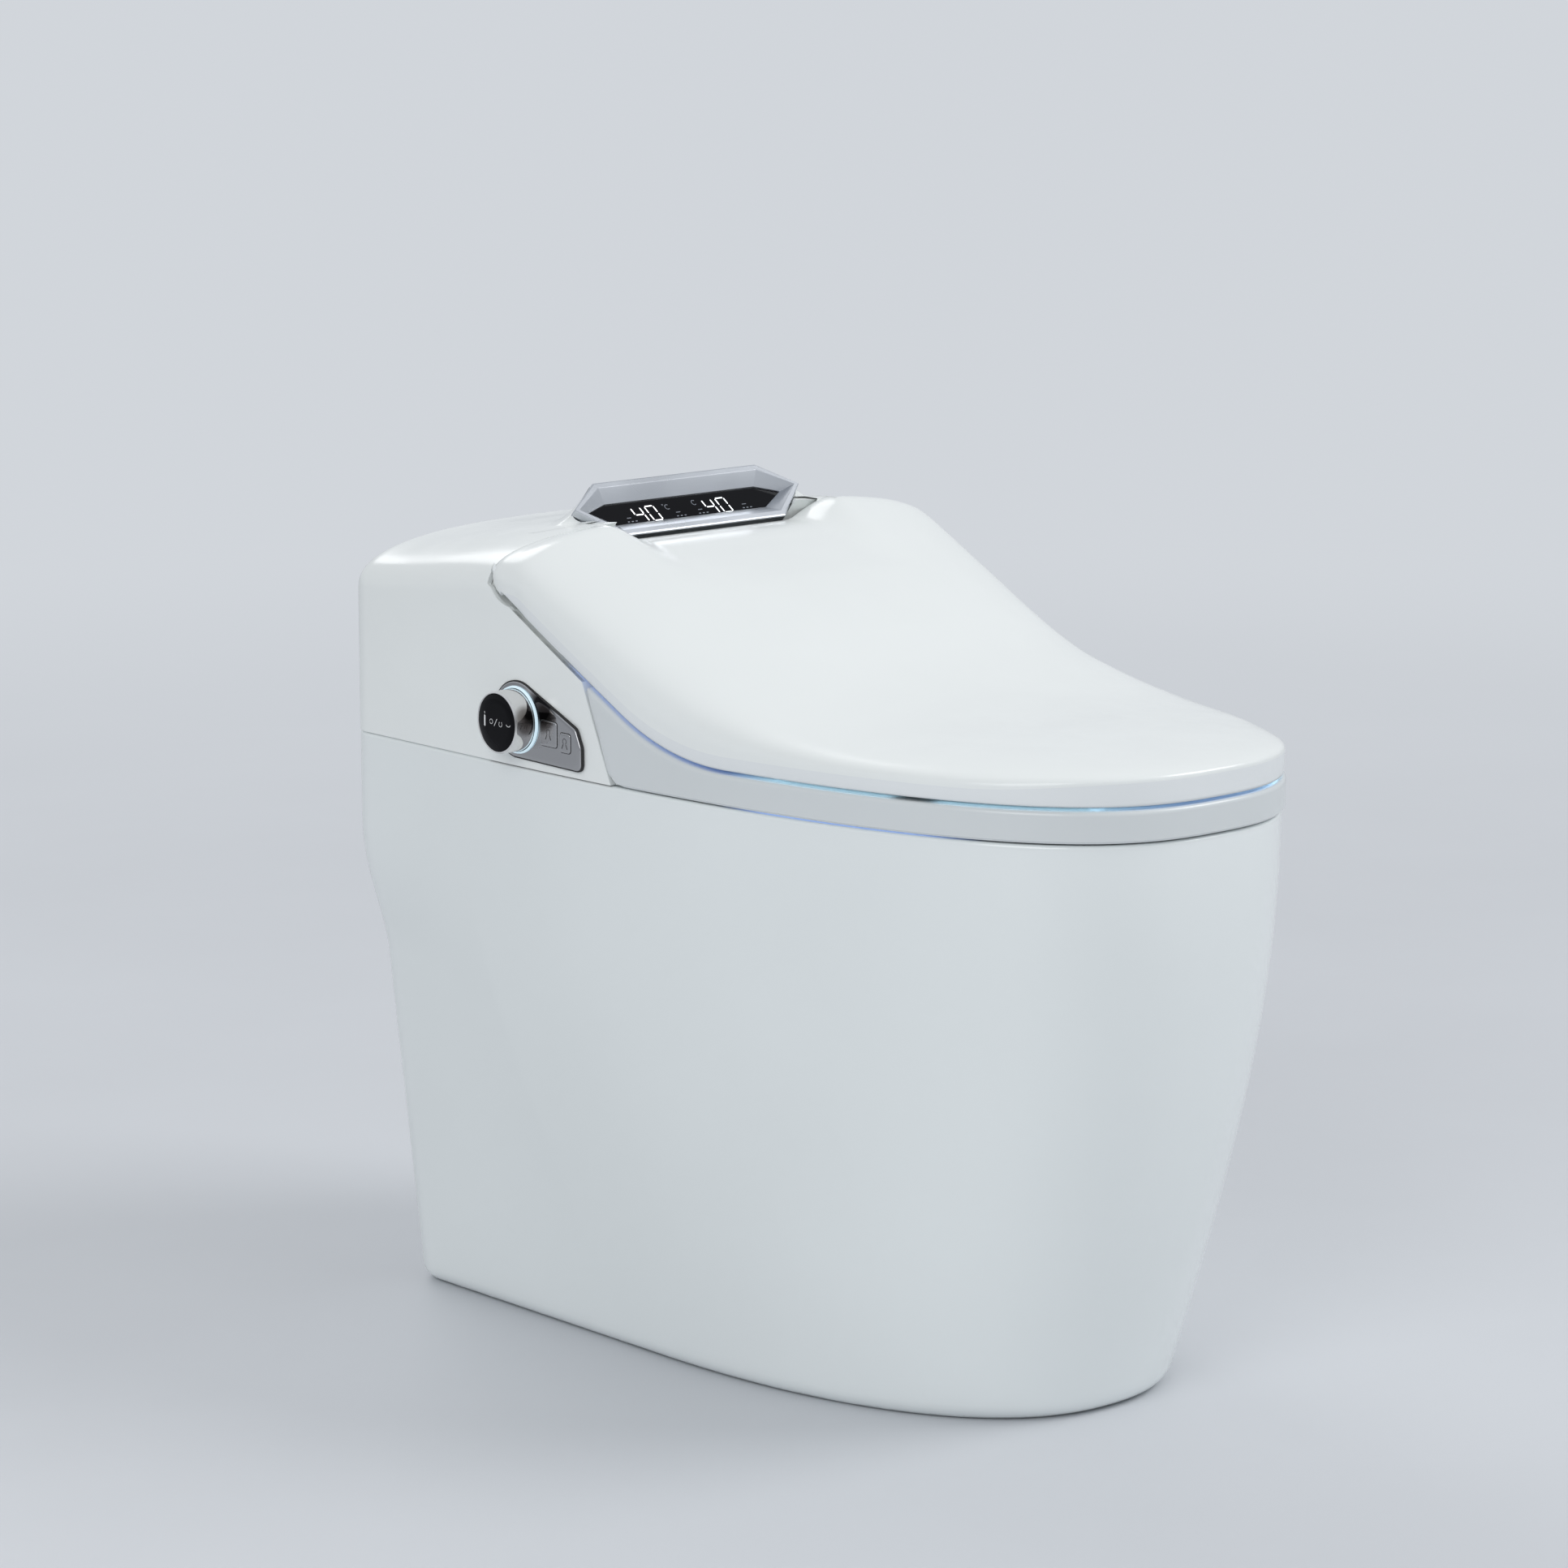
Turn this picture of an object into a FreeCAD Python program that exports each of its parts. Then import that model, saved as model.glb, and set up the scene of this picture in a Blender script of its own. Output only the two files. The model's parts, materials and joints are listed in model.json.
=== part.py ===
"""One-piece smart toilet with a heated seat, a washing and drying unit and a display pod.

Millimetres, +Z up.  The nose points to -Y, the wall side is +Y and the control knob is on the -X side.
The origin is the centre of the floor outlet on the finished floor.
"""
import FreeCAD, Part
import math
import os

V = FreeCAD.Vector

# ---------------------------------------------------------------- overall sizes of the ceramic
ROUGH_IN = 305.0              # wall to floor outlet centre
WALL_GAP = 5.0                # wall to back of the ceramic
RIM_HEIGHT = 395.0            # top of the ceramic
RIM_LENGTH = 654.0
RIM_WIDTH = 377.0
RIM_ROUND_LENGTH = 531.0      # part of the length taken by the rounded front
RIM_EXPONENT = 2.65           # how square the rounded front is
BASE_LENGTH = 546.0
BASE_WIDTH = 308.0
BASE_ROUND_LENGTH = 296.0
BASE_EXPONENT = 2.28
BASE_SETBACK = 25.0           # back of the foot in front of the back of the deck
BASE_ROUND = 12.0             # rounding of the bottom edge
FOOT_WIDTH = 12.0             # flat ring that stands on the floor
REAR_CORNER = 25.0            # radius of the upright rear corners
STEP_LOW = 240.0              # the back steps out from here
STEP_HIGH = 335.0             # up to here
WALL = 14.0                   # ceramic skirt wall
DECK = 20.0                   # ceramic thickness under the rim and rear deck

# ---------------------------------------------------------------- bowl and trapway
BOWL_WIDTH = 250.0
BOWL_RIM = 48.0               # rim land in front of the bowl
BOWL_LENGTH = 314.0
BOWL_DEPTH = 285.0
BOWL_EXPONENT = 2.3
BOWL_WALL = 12.0
SUMP_WIDTH = 62.0
SUMP_LENGTH = 80.0
SUMP_SETBACK = 28.0           # sump end in front of the bowl's rear edge
TRAP_BORE = 54.0
TRAP_WALL = 9.0
TRAP_BEND = 42.0
TRAP_CREST = 212.0            # height of the bend over the weir
OUTLET_BORE = 76.0
OUTLET_DEPTH = 22.0
OUTLET_WALL = 12.0
SEAL_WIDTH = 12.0
SEAL_HEIGHT = 14.0
WELL_WIDTH = 156.0            # recess for the nozzles behind the bowl
WELL_LENGTH = 150.0
WELL_DEPTH = 52.0

# ---------------------------------------------------------------- seat
SEAT_PROUD = 2.5              # seat edge outside the ceramic
SEAT_GAP = 1.5                # seat underside above the rim
SEAT_THICK = 20.5
SEAT_WALL = 3.0
SEAT_HOLE_WIDTH = 226.0
SEAT_HOLE_LENGTH = 282.0
SEAT_HOLE_EXPONENT = 2.2
SEAT_NOSE_WIDTH = 54.0        # front of the ring, measured along the length
SEAT_REAR_WIDTH = 35.0        # rear of the ring at its underside
SEAT_REAR_LEAN = 22.7         # degrees, the rear edge leans back
SEAT_JOINT_GAP = 1.5          # seat rear edge to the housing
SEAT_AXIS_BACK = 236.0        # seat hinge in front of the back face
SEAT_AXIS_HEIGHT = 61.0       # above the rim
SEAT_KNUCKLE = 10.0           # radius
SEAT_BRACKET_WIDTH = 14.0
SEAT_ARM_GAP = 1.0            # housing slot beside the arm
SEAT_ARM_WIDTH = 22.0
SEAT_ARM_OFFSET = 129.0       # middle of the arm from the centre plane
SEAT_PIN = 4.0                # radius
HEATER_FILM = 0.6
HEATER_MARGIN = 11.0
BUMPER_RADIUS = 7.0

# ---------------------------------------------------------------- lid
LID_INSET = 1.0               # lid edge inside the seat edge
LID_GAP = 2.5                 # lid edge above the seat
LID_BAND = 12.0               # upright edge of the lid
LID_RISE = 14.5               # crown above the band at the nose
LID_SWEEP_BACK = 388.0        # where the lower edge starts to rise, from the back face
LID_SWEEP_RADIUS = 190.0
LID_SLOPE = 29.0              # degrees, lower edge towards the hinge
LID_TOP_SLOPE = 24.2          # degrees, crown line towards the hinge
LID_TOP_BEND = 420.0          # radius between the flat crown and the sloping crown
LID_AXIS_BACK = 184.0         # lid hinge in front of the back face
LID_AXIS_HEIGHT = 132.0       # above the rim
LID_BARREL = 24.0             # radius of the round rear edge
LID_SIDE_RISE = 2.0           # top of the upright side over the hinge line
SCOOP_LENGTH = 66.0           # dip in front of the pod, ahead of the hinge line
SCOOP_REAR = 8.0              # lid surface above the hinge line at the pod
LUG_THICK = 6.0
LUG_GAP = 6.5                 # hinge bracket to the lid barrel
LIGHT_STRIP = 2.4             # height of the light strip under the lid
SEAT_LIGHT = 0.9              # height of the light strip under the seat
LID_TURN = 70.0               # length over which the side rises to the hinge
LID_WALL = 3.5
LID_LINER = 2.5
LID_LINER_LIFT = 3.0          # liner above the lower edge
LID_PIN = 5.0                 # radius

# ---------------------------------------------------------------- rear housing and display pod
SEAM = 0.5                    # joint between ceramic and housing
HOUSING_SIDE = 95.0           # height of the upright side up to the crease
HOUSING_REAR_HEIGHT = 136.5   # top at the back above the rim
HOUSING_WALL = 3.0
LIGHT_GAP = 4.0               # housing under the lid edge
BARREL_GAP = 3.0              # housing round the lid barrel
SECTION_EXPONENT = 3.0        # shoulder shape of the housing and the lid
POD_BACK = 145.6              # centre of the display plane in front of the back face
POD_HEIGHT = 159.4            # above the rim
POD_TILT = 44.1               # degrees
POD_HALF_LENGTH = 102.0
POD_CHAMFER = 28.7
POD_HALF_FRONT = 25.9
POD_HALF_REAR = 20.8
POD_RIM = 5.0                 # flat rim of the bezel
POD_BEVEL = 9.0               # slope of the bezel inside the rim
POD_DISH = 7.0                # glass below the rim
POD_GLASS = 2.0
POD_LEDGE = 3.0               # ledge over the edge of the glass
POD_LIP = 1.0                 # thickness of the ledge
POD_BEZEL_DEPTH = 13.0
POD_DEPTH = 38.0
POD_GAP = 2.5                 # lid notch round the pod

# ---------------------------------------------------------------- derived planes
BACK_Y = ROUGH_IN - WALL_GAP
RIM_NOSE_Y = BACK_Y - RIM_LENGTH
RIM_HALF = RIM_WIDTH / 2
BASE_REAR_Y = BACK_Y - BASE_SETBACK
BASE_NOSE_Y = BASE_REAR_Y - BASE_LENGTH
BASE_HALF = BASE_WIDTH / 2
SEAT_Z = RIM_HEIGHT + SEAT_GAP
SEAT_TOP_Z = SEAT_Z + SEAT_THICK
LID_Z = SEAT_TOP_Z + LID_GAP
LID_AXIS = (BACK_Y - LID_AXIS_BACK, RIM_HEIGHT + LID_AXIS_HEIGHT)
SEAT_AXIS = (BACK_Y - SEAT_AXIS_BACK, RIM_HEIGHT + SEAT_AXIS_HEIGHT)
LID_SWEEP_Y = BACK_Y - LID_SWEEP_BACK
EXTENT = 400.0                # half width of profile blocks, larger than the object

# ---------------------------------------------------------------- side controls
KNOB_BACK = 191.5             # knob axis in front of the back face
KNOB_HEIGHT = 32.3            # above the rim
KNOB_RADIUS = 21.0
KNOB_DEPTH = 14.0
KNOB_WALL = 2.0
KNOB_TRAVEL = 1.2             # press travel
KNOB_FACE = 1.6               # thickness of the glass disc
RING_RADIUS = 23.6
RING_DEPTH = 3.0
PLATE_THICK = 1.6             # stands proud of the housing side
PLATE_SEAT = 1.5              # let into the housing side
FLANGE_PLACE = 2.2            # button flange behind the housing wall
PLATE_BIG = 25.5              # radius of the plate round the knob
PLATE_SMALL = 13.0            # height of the plate at its front end, as a half height
PLATE_LENGTH = 66.0           # knob axis to the front end
PLATE_DROP = 15.0             # front end middle below the knob axis
BUTTON_TRAVEL = 1.2
BUTTON_PROUD = 0.8
BUTTON_GAP = 0.4
BUTTON_SIZES = ((17.0, 17.0, 34.0), (11.0, 13.0, 51.0))   # length, height, distance from the knob axis

# ---------------------------------------------------------------- inner pieces
CHASSIS_THICK = 3.0
BRACKET_THICK = 7.0
BRACKET_WIDTH = 18.0
LID_BRACKET_OFFSET = 94.0     # middle of the lid bracket from the centre plane
SEAT_BRACKET_THICK = 5.0
FIT = 0.05                    # running clearance of a pin in its hole
CLEAR = 0.4                   # clearance between pieces that pass each other
WAND_RADIUS = 7.0
WAND_LENGTH = 118.0
WAND_SLOPE = 25.0             # degrees
WAND_SPACING = 22.0
WAND_TIP_Y = 34.0             # wand tip at rest
WAND_TIP_Z = -12.0            # from the rim
CRADLE_WALL = 2.5
DUCT_WIDTH = 24.0
DUCT_HEIGHT = 30.0
DUCT_WALL = 2.0
DUCT_X = 62.0
DUCT_LIFT = 3.0               # duct over the chassis at the fan
FLAP_AHEAD = 2.0              # flap hinge in front of the duct mouth
FLAP_LIFT = 0.6               # and above its top
FLAP_KNUCKLE = 1.6            # radius
FLAP_PIN = 0.8                # radius
FAN_RADIUS = 34.0
FAN_WIDTH = 24.0
FAN_WALL = 2.0
FAN_BLADES = 18
FAN_SHAFT = 2.0               # radius
FAN_Y = 190.0
HEATER_RADIUS = 27.0
HEATER_LENGTH = 96.0
INLET_RADIUS = 10.5           # half-inch parallel thread, outside
INLET_LENGTH = 16.0
INLET_COLLAR = 3.0            # collar against the wall of the recess
INLET_WALL = 2.5
INLET_X = 118.0
SERVICE_HEIGHT = 32.0         # inlet and cable axis above the rim
GLAND_RADIUS = 7.0
GLAND_BORE = 4.0
GLAND_X = -118.0
POCKET_DEPTH = 20.0
POCKET_WIDTH = 56.0
POCKET_HEIGHT = 44.0

KNOB_HUB = 6.0
HUB_GAP = 1.0                 # hole round the knob's hub
KNOB_FLOOR = 2.5              # thickness of the cup behind the face
SOCKET_ROOF = 1.2             # cup material over the end of the shaft's socket
SHAFT_RADIUS = 3.0
BOARD_X = -180.0              # outer face of the switch board
BOARD_THICK = 1.6
SCREW_RADIUS = 2.5


# ---------------------------------------------------------------- helpers
def box(x0, x1, y0, y1, z0, z1):
    """Axis-aligned block between two corners."""
    return Part.makeBox(x1 - x0, y1 - y0, z1 - z0, V(x0, y0, z0))


def rod(start, end, radius):
    """Round bar between two points."""
    line = V(*end) - V(*start)
    return Part.makeCylinder(radius, line.Length, V(*start), line)


def rod_x(x0, x1, y, z, radius):
    """Round bar along X."""
    return rod((x0, y, z), (x1, y, z), radius)


def extrude_x(wire, x0, x1):
    """Solid from a closed wire in the YZ plane, carried from x0 to x1."""
    face = Part.Face(wire)
    face.translate(V(x0, 0, 0))
    return face.extrude(V(x1 - x0, 0, 0))


def polygon(points):
    """Closed wire through points."""
    return Part.makePolygon([V(*p) for p in points] + [V(*points[0])])


def join(shapes):
    """One solid from touching shapes."""
    result = shapes[0].multiFuse(shapes[1:]) if len(shapes) > 1 else shapes[0]
    return result.removeSplitter()


def both_sides(shape):
    """A piece and its mirror image in the centre plane."""
    return Part.makeCompound([shape, shape.mirror(V(0, 0, 0), V(1, 0, 0))])


def lerp(a, b, t):
    return a + (b - a) * t


def smooth(t):
    """Smooth step from 0 to 1."""
    t = min(max(t, 0.0), 1.0)
    return t * t * (3 - 2 * t)


# ---------------------------------------------------------------- plan outlines
def nose_curve(half, length, y_wide, exponent, z, count=18):
    """Superellipse half outline from (-half, y_wide) round the nose to (half, y_wide)."""
    points = []
    for i in range(count + 1):
        a = math.pi * i / count
        c, s = math.cos(a), math.sin(a)
        x = -half * math.copysign(abs(c) ** (2 / exponent), c)
        y = y_wide - length * abs(s) ** (2 / exponent)
        points.append(V(x, y, z))
    curve = Part.BSplineCurve()
    side = V(0, -1, 0) if length > 0 else V(0, 1, 0)
    curve.interpolate(Points=points, InitialTangent=side, FinalTangent=side * -1, Scale=True)
    return curve.toShape()


def body_outline(nose_y, y_wide, rear_y, half, half_rear, exponent, corner, z):
    """Closed plan outline: rounded nose, straight sides and rear corners."""
    nose = nose_curve(half, y_wide - nose_y, y_wide, exponent, z)
    y_c = rear_y - corner
    x_c = half_rear - corner
    r45 = corner * math.sqrt(0.5)
    right = Part.makeLine(V(half, y_wide, z), V(half_rear, y_c, z))
    arc_r = Part.Arc(V(half_rear, y_c, z), V(x_c + r45, y_c + r45, z), V(x_c, rear_y, z)).toShape()
    back = Part.makeLine(V(x_c, rear_y, z), V(-x_c, rear_y, z))
    arc_l = Part.Arc(V(-x_c, rear_y, z), V(-x_c - r45, y_c + r45, z), V(-half_rear, y_c, z)).toShape()
    left = Part.makeLine(V(-half_rear, y_c, z), V(-half, y_wide, z))
    return Part.Wire([nose, right, arc_r, back, arc_l, left])


def ceramic_outline(z, inset):
    """Outline of the ceramic at height z, moved in by inset."""
    nose_t = math.sin(math.pi / 2 * z / RIM_HEIGHT)
    base_t = 0.07 + 0.87 * z / RIM_HEIGHT
    rear_t = lerp(base_t, 1.0, smooth((z - STEP_LOW) / (STEP_HIGH - STEP_LOW)))
    base_wide = BASE_NOSE_Y + BASE_ROUND_LENGTH
    rim_wide = RIM_NOSE_Y + RIM_ROUND_LENGTH
    return body_outline(
        lerp(BASE_NOSE_Y, RIM_NOSE_Y, nose_t) + inset,
        lerp(base_wide, rim_wide, nose_t),
        lerp(BASE_REAR_Y, BACK_Y, rear_t) - inset,
        lerp(BASE_HALF, RIM_HALF, nose_t) - inset,
        lerp(BASE_HALF, RIM_HALF, rear_t) - inset,
        lerp(BASE_EXPONENT, RIM_EXPONENT, nose_t),
        max(REAR_CORNER - inset, 4.0),
        z)


def rim_outline(z, proud):
    """Outline of the rim moved out by proud, at height z; the back face stays."""
    wire = body_outline(
        RIM_NOSE_Y - proud,
        RIM_NOSE_Y + RIM_ROUND_LENGTH,
        BACK_Y + min(proud, 0.0),
        RIM_HALF + proud,
        RIM_HALF + proud,
        RIM_EXPONENT,
        max(REAR_CORNER + proud, 4.0),
        z)
    return wire


def rim_prism(z0, z1, proud):
    """Upright block inside the rim outline."""
    return Part.Face(rim_outline(z0, proud)).extrude(V(0, 0, z1 - z0))


def oval(half, y_front, y_rear, exponent, z):
    """Closed superellipse, widest half way along."""
    middle = (y_front + y_rear) / 2
    front = nose_curve(half, middle - y_front, middle, exponent, z, 12)
    rear = nose_curve(half, middle - y_rear, middle, exponent, z, 12)
    return Part.Wire([front, rear])


# ---------------------------------------------------------------- ceramic
def skirt_solid():
    """Full outer form of the ceramic, lofted from the foot to the rim."""
    heights = [BASE_ROUND * (1 - math.cos(math.radians(a))) for a in (0, 35, 62, 90)]
    insets = [BASE_ROUND * (1 - math.sin(math.radians(a))) for a in (0, 35, 62, 90)]
    wires = [ceramic_outline(h, i) for h, i in zip(heights, insets)]
    count = 12
    for i in range(1, count + 1):
        wires.append(ceramic_outline(lerp(BASE_ROUND, RIM_HEIGHT, i / count), 0.0))
    return Part.makeLoft(wires, True, False)


def skirt_hollow():
    """Space inside the skirt, open at the floor."""
    top = RIM_HEIGHT - DECK
    wires = [ceramic_outline(0.0, BASE_ROUND + FOOT_WIDTH)]
    count = 10
    for i in range(1, count + 1):
        wires.append(ceramic_outline(top * i / count, WALL))
    hollow = Part.makeLoft(wires, True, False)
    return hollow.fuse(Part.Face(ceramic_outline(0.0, BASE_ROUND + FOOT_WIDTH)).extrude(V(0, 0, -1)))


def bowl_form(grow):
    """Bowl space from the rim down to the sump, grown by the wall for its outside."""
    front = RIM_NOSE_Y + BOWL_RIM
    rear = front + BOWL_LENGTH
    half = BOWL_WIDTH / 2
    sump_y = rear - SUMP_LENGTH - SUMP_SETBACK
    stations = ((0.0, 0.0), (0.10, 0.015), (0.25, 0.08), (0.45, 0.27),
                (0.65, 0.55), (0.82, 0.83), (1.0, 1.0))
    wires = []
    for depth, pull in stations:
        z = RIM_HEIGHT - BOWL_DEPTH * depth
        z = z - (grow if depth == 1.0 else 0.0)
        wires.append(oval(
            lerp(half, SUMP_WIDTH / 2, pull) + grow,
            lerp(front, sump_y - SUMP_LENGTH / 2, pull) - grow,
            lerp(rear, sump_y + SUMP_LENGTH / 2, pull) + grow,
            BOWL_EXPONENT, z))
    return Part.makeLoft(wires, True, False)


def rounded_path(points, radius):
    """Wire of straight runs joined by tangent arcs of one radius, in the YZ plane."""
    pts = [V(0, y, z) for y, z in points]
    edges = []
    start = pts[0]
    for i in range(1, len(pts) - 1):
        into = (pts[i] - pts[i - 1]).normalize()
        out = (pts[i + 1] - pts[i]).normalize()
        turn = into.getAngle(out)
        cut = radius * math.tan(turn / 2)
        a = pts[i] - into * cut
        b = pts[i] + out * cut
        bisector = (out - into).normalize()
        centre = pts[i] + bisector * (radius / math.cos(turn / 2))
        middle = centre - bisector * radius
        edges.append(Part.makeLine(start, a))
        edges.append(Part.Arc(a, middle, b).toShape())
        start = b
    edges.append(Part.makeLine(start, pts[-1]))
    return Part.Wire(edges)


def trap_points(low):
    """Trapway centre line from the sump over the crest to the floor outlet."""
    sump_y = RIM_NOSE_Y + BOWL_RIM + BOWL_LENGTH - SUMP_LENGTH - SUMP_SETBACK
    sump_z = RIM_HEIGHT - BOWL_DEPTH + TRAP_BORE / 2 - 4.0
    return [(sump_y - 6.0, sump_z), (sump_y + 48.0, sump_z), (70.0, TRAP_CREST),
            (82.0, 100.0), (0.0, 47.0), (0.0, low)]


def trap_tube(radius, low):
    """Swept tube along the trapway."""
    path = rounded_path(trap_points(low), TRAP_BEND)
    start = path.Edges[0]
    first = start.FirstParameter
    circle = Part.Wire(Part.makeCircle(radius, start.valueAt(first), start.tangentAt(first)))
    return path.makePipeShell([circle], True, False)


def ceramic_pan():
    """Skirted pan with bowl, trapway, outlet and the recess for the nozzles."""
    outlet = OUTLET_BORE / 2
    bowl_rear = RIM_NOSE_Y + BOWL_RIM + BOWL_LENGTH
    well = box(-WELL_WIDTH / 2, WELL_WIDTH / 2, bowl_rear - 40, bowl_rear + WELL_LENGTH,
               RIM_HEIGHT - WELL_DEPTH, RIM_HEIGHT + 10)
    well_out = box(-WELL_WIDTH / 2 - BOWL_WALL, WELL_WIDTH / 2 + BOWL_WALL, bowl_rear - 40,
                   bowl_rear + WELL_LENGTH + BOWL_WALL, RIM_HEIGHT - WELL_DEPTH - BOWL_WALL, RIM_HEIGHT - 2)
    shell = skirt_solid().cut(skirt_hollow())
    inside = bowl_form(BOWL_WALL).common(box(-EXTENT, EXTENT, -EXTENT, EXTENT, 0, RIM_HEIGHT - 1))
    tube = trap_tube(TRAP_BORE / 2 + TRAP_WALL, 12.0)
    boss = rod((0, 0, 0), (0, 0, OUTLET_DEPTH + OUTLET_WALL), outlet + OUTLET_WALL)
    pan = shell.multiFuse([inside, tube, boss, well_out])
    pan = pan.cut(bowl_form(0.0).fuse(rim_hole_top()))
    pan = pan.cut(trap_tube(TRAP_BORE / 2, -1.0))
    pan = pan.cut(rod((0, 0, -1), (0, 0, OUTLET_DEPTH), outlet))
    pan = pan.cut(well)
    return pan


def rim_hole_top():
    """Short upright block that opens the bowl through the rim face."""
    front = RIM_NOSE_Y + BOWL_RIM
    wire = oval(BOWL_WIDTH / 2, front, front + BOWL_LENGTH, BOWL_EXPONENT, RIM_HEIGHT)
    return Part.Face(wire).extrude(V(0, 0, 5))


def outlet_seal():
    """Rubber ring seated in the outlet, round the drain pipe."""
    outer = OUTLET_BORE / 2
    ring = rod((0, 0, 0), (0, 0, SEAL_HEIGHT), outer)
    return ring.cut(rod((0, 0, -1), (0, 0, SEAL_HEIGHT + 1), outer - SEAL_WIDTH))


# ---------------------------------------------------------------- side profiles in the YZ plane
def edge_line(lift):
    """Lower edge of the lid moved up by lift: flat run, arc and rising line as three edges."""
    z0 = LID_Z + lift
    slope = math.radians(LID_SLOPE)
    radius = LID_SWEEP_RADIUS - lift
    y0 = LID_SWEEP_Y
    mid = V(0, y0 + radius * math.sin(slope / 2), z0 + radius * (1 - math.cos(slope / 2)))
    end = V(0, y0 + radius * math.sin(slope), z0 + radius * (1 - math.cos(slope)))
    far = end + V(0, math.cos(slope), math.sin(slope)) * EXTENT
    flat = Part.makeLine(V(0, -2 * EXTENT, z0), V(0, y0, z0))
    arc = Part.Arc(V(0, y0, z0), mid, end).toShape()
    return [flat, arc, Part.makeLine(end, far)]


def beyond_edge(lift, level):
    """Solid between the lid's lower edge moved up by lift and a level plane."""
    edges = edge_line(lift)
    start = edges[0].Vertexes[0].Point
    end = edges[2].Vertexes[-1].Point
    corner = V(0, end.y, level)
    near = V(0, start.y, level)
    closing = [Part.makeLine(end, corner), Part.makeLine(corner, near), Part.makeLine(near, start)]
    return extrude_x(Part.Wire(edges + closing), -EXTENT, EXTENT)


def above_edge(lift):
    """Solid of everything above the lid's lower edge moved up by lift."""
    return beyond_edge(lift, 3 * EXTENT)


def below_edge(lift):
    """Solid of everything below the lid's lower edge moved up by lift."""
    return beyond_edge(lift, -EXTENT)


def seat_rear_face(offset):
    """Two points of the leaning rear edge of the seat, moved back by offset."""
    lean = math.radians(SEAT_REAR_LEAN)
    y0 = RIM_NOSE_Y + SEAT_NOSE_WIDTH + SEAT_HOLE_LENGTH + SEAT_REAR_WIDTH + offset / math.cos(lean)
    height = 120.0
    return (y0, SEAT_Z), (y0 + height * math.tan(lean), SEAT_Z + height)


def in_front_of_seat_rear(offset):
    """Solid in front of the leaning rear edge of the seat."""
    (y0, z0), (y1, z1) = seat_rear_face(offset)
    lean = (y1 - y0) / (z1 - z0)
    low = y0 - EXTENT * lean
    wire = polygon([(0, -2 * EXTENT, z0 - EXTENT), (0, low, z0 - EXTENT), (0, y1, z1), (0, -2 * EXTENT, z1)])
    return extrude_x(wire, -EXTENT, EXTENT)


def crown_height(y, drop):
    """Height of the lid's crown line at y, lowered by drop."""
    slope = math.radians(LID_TOP_SLOPE)
    flat = LID_Z + LID_BAND + LID_RISE
    ay, az = LID_AXIS
    top_y = ay - LID_BARREL * math.sin(slope)
    top_z = az + LID_BARREL * math.cos(slope)
    bend_y = top_y - (top_z - flat) / math.tan(slope)
    reach = LID_TOP_BEND * math.tan(slope / 2)
    if y < bend_y - reach:
        z = flat
    elif y < bend_y + reach * math.cos(slope):
        z = flat + LID_TOP_BEND - math.sqrt(LID_TOP_BEND ** 2 - (y - bend_y + reach) ** 2)
    elif y < top_y:
        z = top_z - (top_y - y) * math.tan(slope)
    else:
        z = az + math.sqrt(LID_BARREL ** 2 - (min(y, ay) - ay) ** 2)
    return z - drop


def band_height(y):
    """Height of the top of the lid's upright edge at y."""
    slope = math.radians(LID_SLOPE)
    rise = LID_SWEEP_RADIUS * (1 - math.cos(slope))
    run = LID_SWEEP_RADIUS * math.sin(slope)
    t = y - LID_SWEEP_Y
    if t < 0:
        z = 0.0
    elif t < run:
        z = LID_SWEEP_RADIUS - math.sqrt(LID_SWEEP_RADIUS ** 2 - t * t)
    else:
        z = rise + (t - run) * math.tan(slope)
    return LID_Z + LID_BAND + z


def shoulder_section(y, z_low, z_side, z_top, half):
    """Section in the XZ plane: flat bottom, upright sides and a superelliptic top."""
    points = []
    count = 16
    for i in range(count + 1):
        a = math.pi * i / count
        c, s = math.cos(a), math.sin(a)
        x = half * math.copysign(abs(c) ** (2 / SECTION_EXPONENT), c)
        points.append(V(x, y, z_side + (z_top - z_side) * abs(s) ** (2 / SECTION_EXPONENT)))
    curve = Part.BSplineCurve()
    curve.interpolate(Points=points)
    top = curve.toShape()
    right = Part.makeLine(V(half, y, z_low), V(half, y, z_side))
    left = Part.makeLine(V(-half, y, z_side), V(-half, y, z_low))
    base = Part.makeLine(V(-half, y, z_low), V(half, y, z_low))
    return Part.Wire([right, top, left, base])


# ---------------------------------------------------------------- lid
def lid_section(y, inset):
    """Section of the lid block at y, moved in by inset."""
    half = RIM_HALF + SEAT_PROUD - LID_INSET - inset
    return shoulder_section(y, RIM_HEIGHT - 40, side_height(y) - inset, crown_height(y, inset), half)


def side_height(y):
    """Top of the lid's upright side at y: the band, lifted over the hinge line at the rear."""
    ay, az = LID_AXIS
    y = min(y, ay)
    lift = az + LID_SIDE_RISE - band_height(ay)
    return band_height(y) + lift * smooth((y - ay + LID_TURN) / LID_TURN)


def lid_form(inset, lift):
    """Whole lid form: crowned block over the swept lower edge, rounded about the hinge line."""
    ay, az = LID_AXIS
    start = RIM_NOSE_Y - 20.0
    end = ay + LID_BARREL + 2.0
    wires = [lid_section(lerp(start, end, i / 20), inset) for i in range(21)]
    outline = rim_prism(RIM_HEIGHT - 60, RIM_HEIGHT + 260, SEAT_PROUD - LID_INSET - inset)
    block = Part.makeLoft(wires, True, False).common(outline)
    ahead = block.common(above_edge(lift)).common(box(-EXTENT, EXTENT, -2 * EXTENT, ay, 0, 2 * EXTENT))
    round_end = block.common(rod_x(-EXTENT, EXTENT, ay, az, LID_BARREL - inset))
    return ahead.fuse(round_end)


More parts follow.
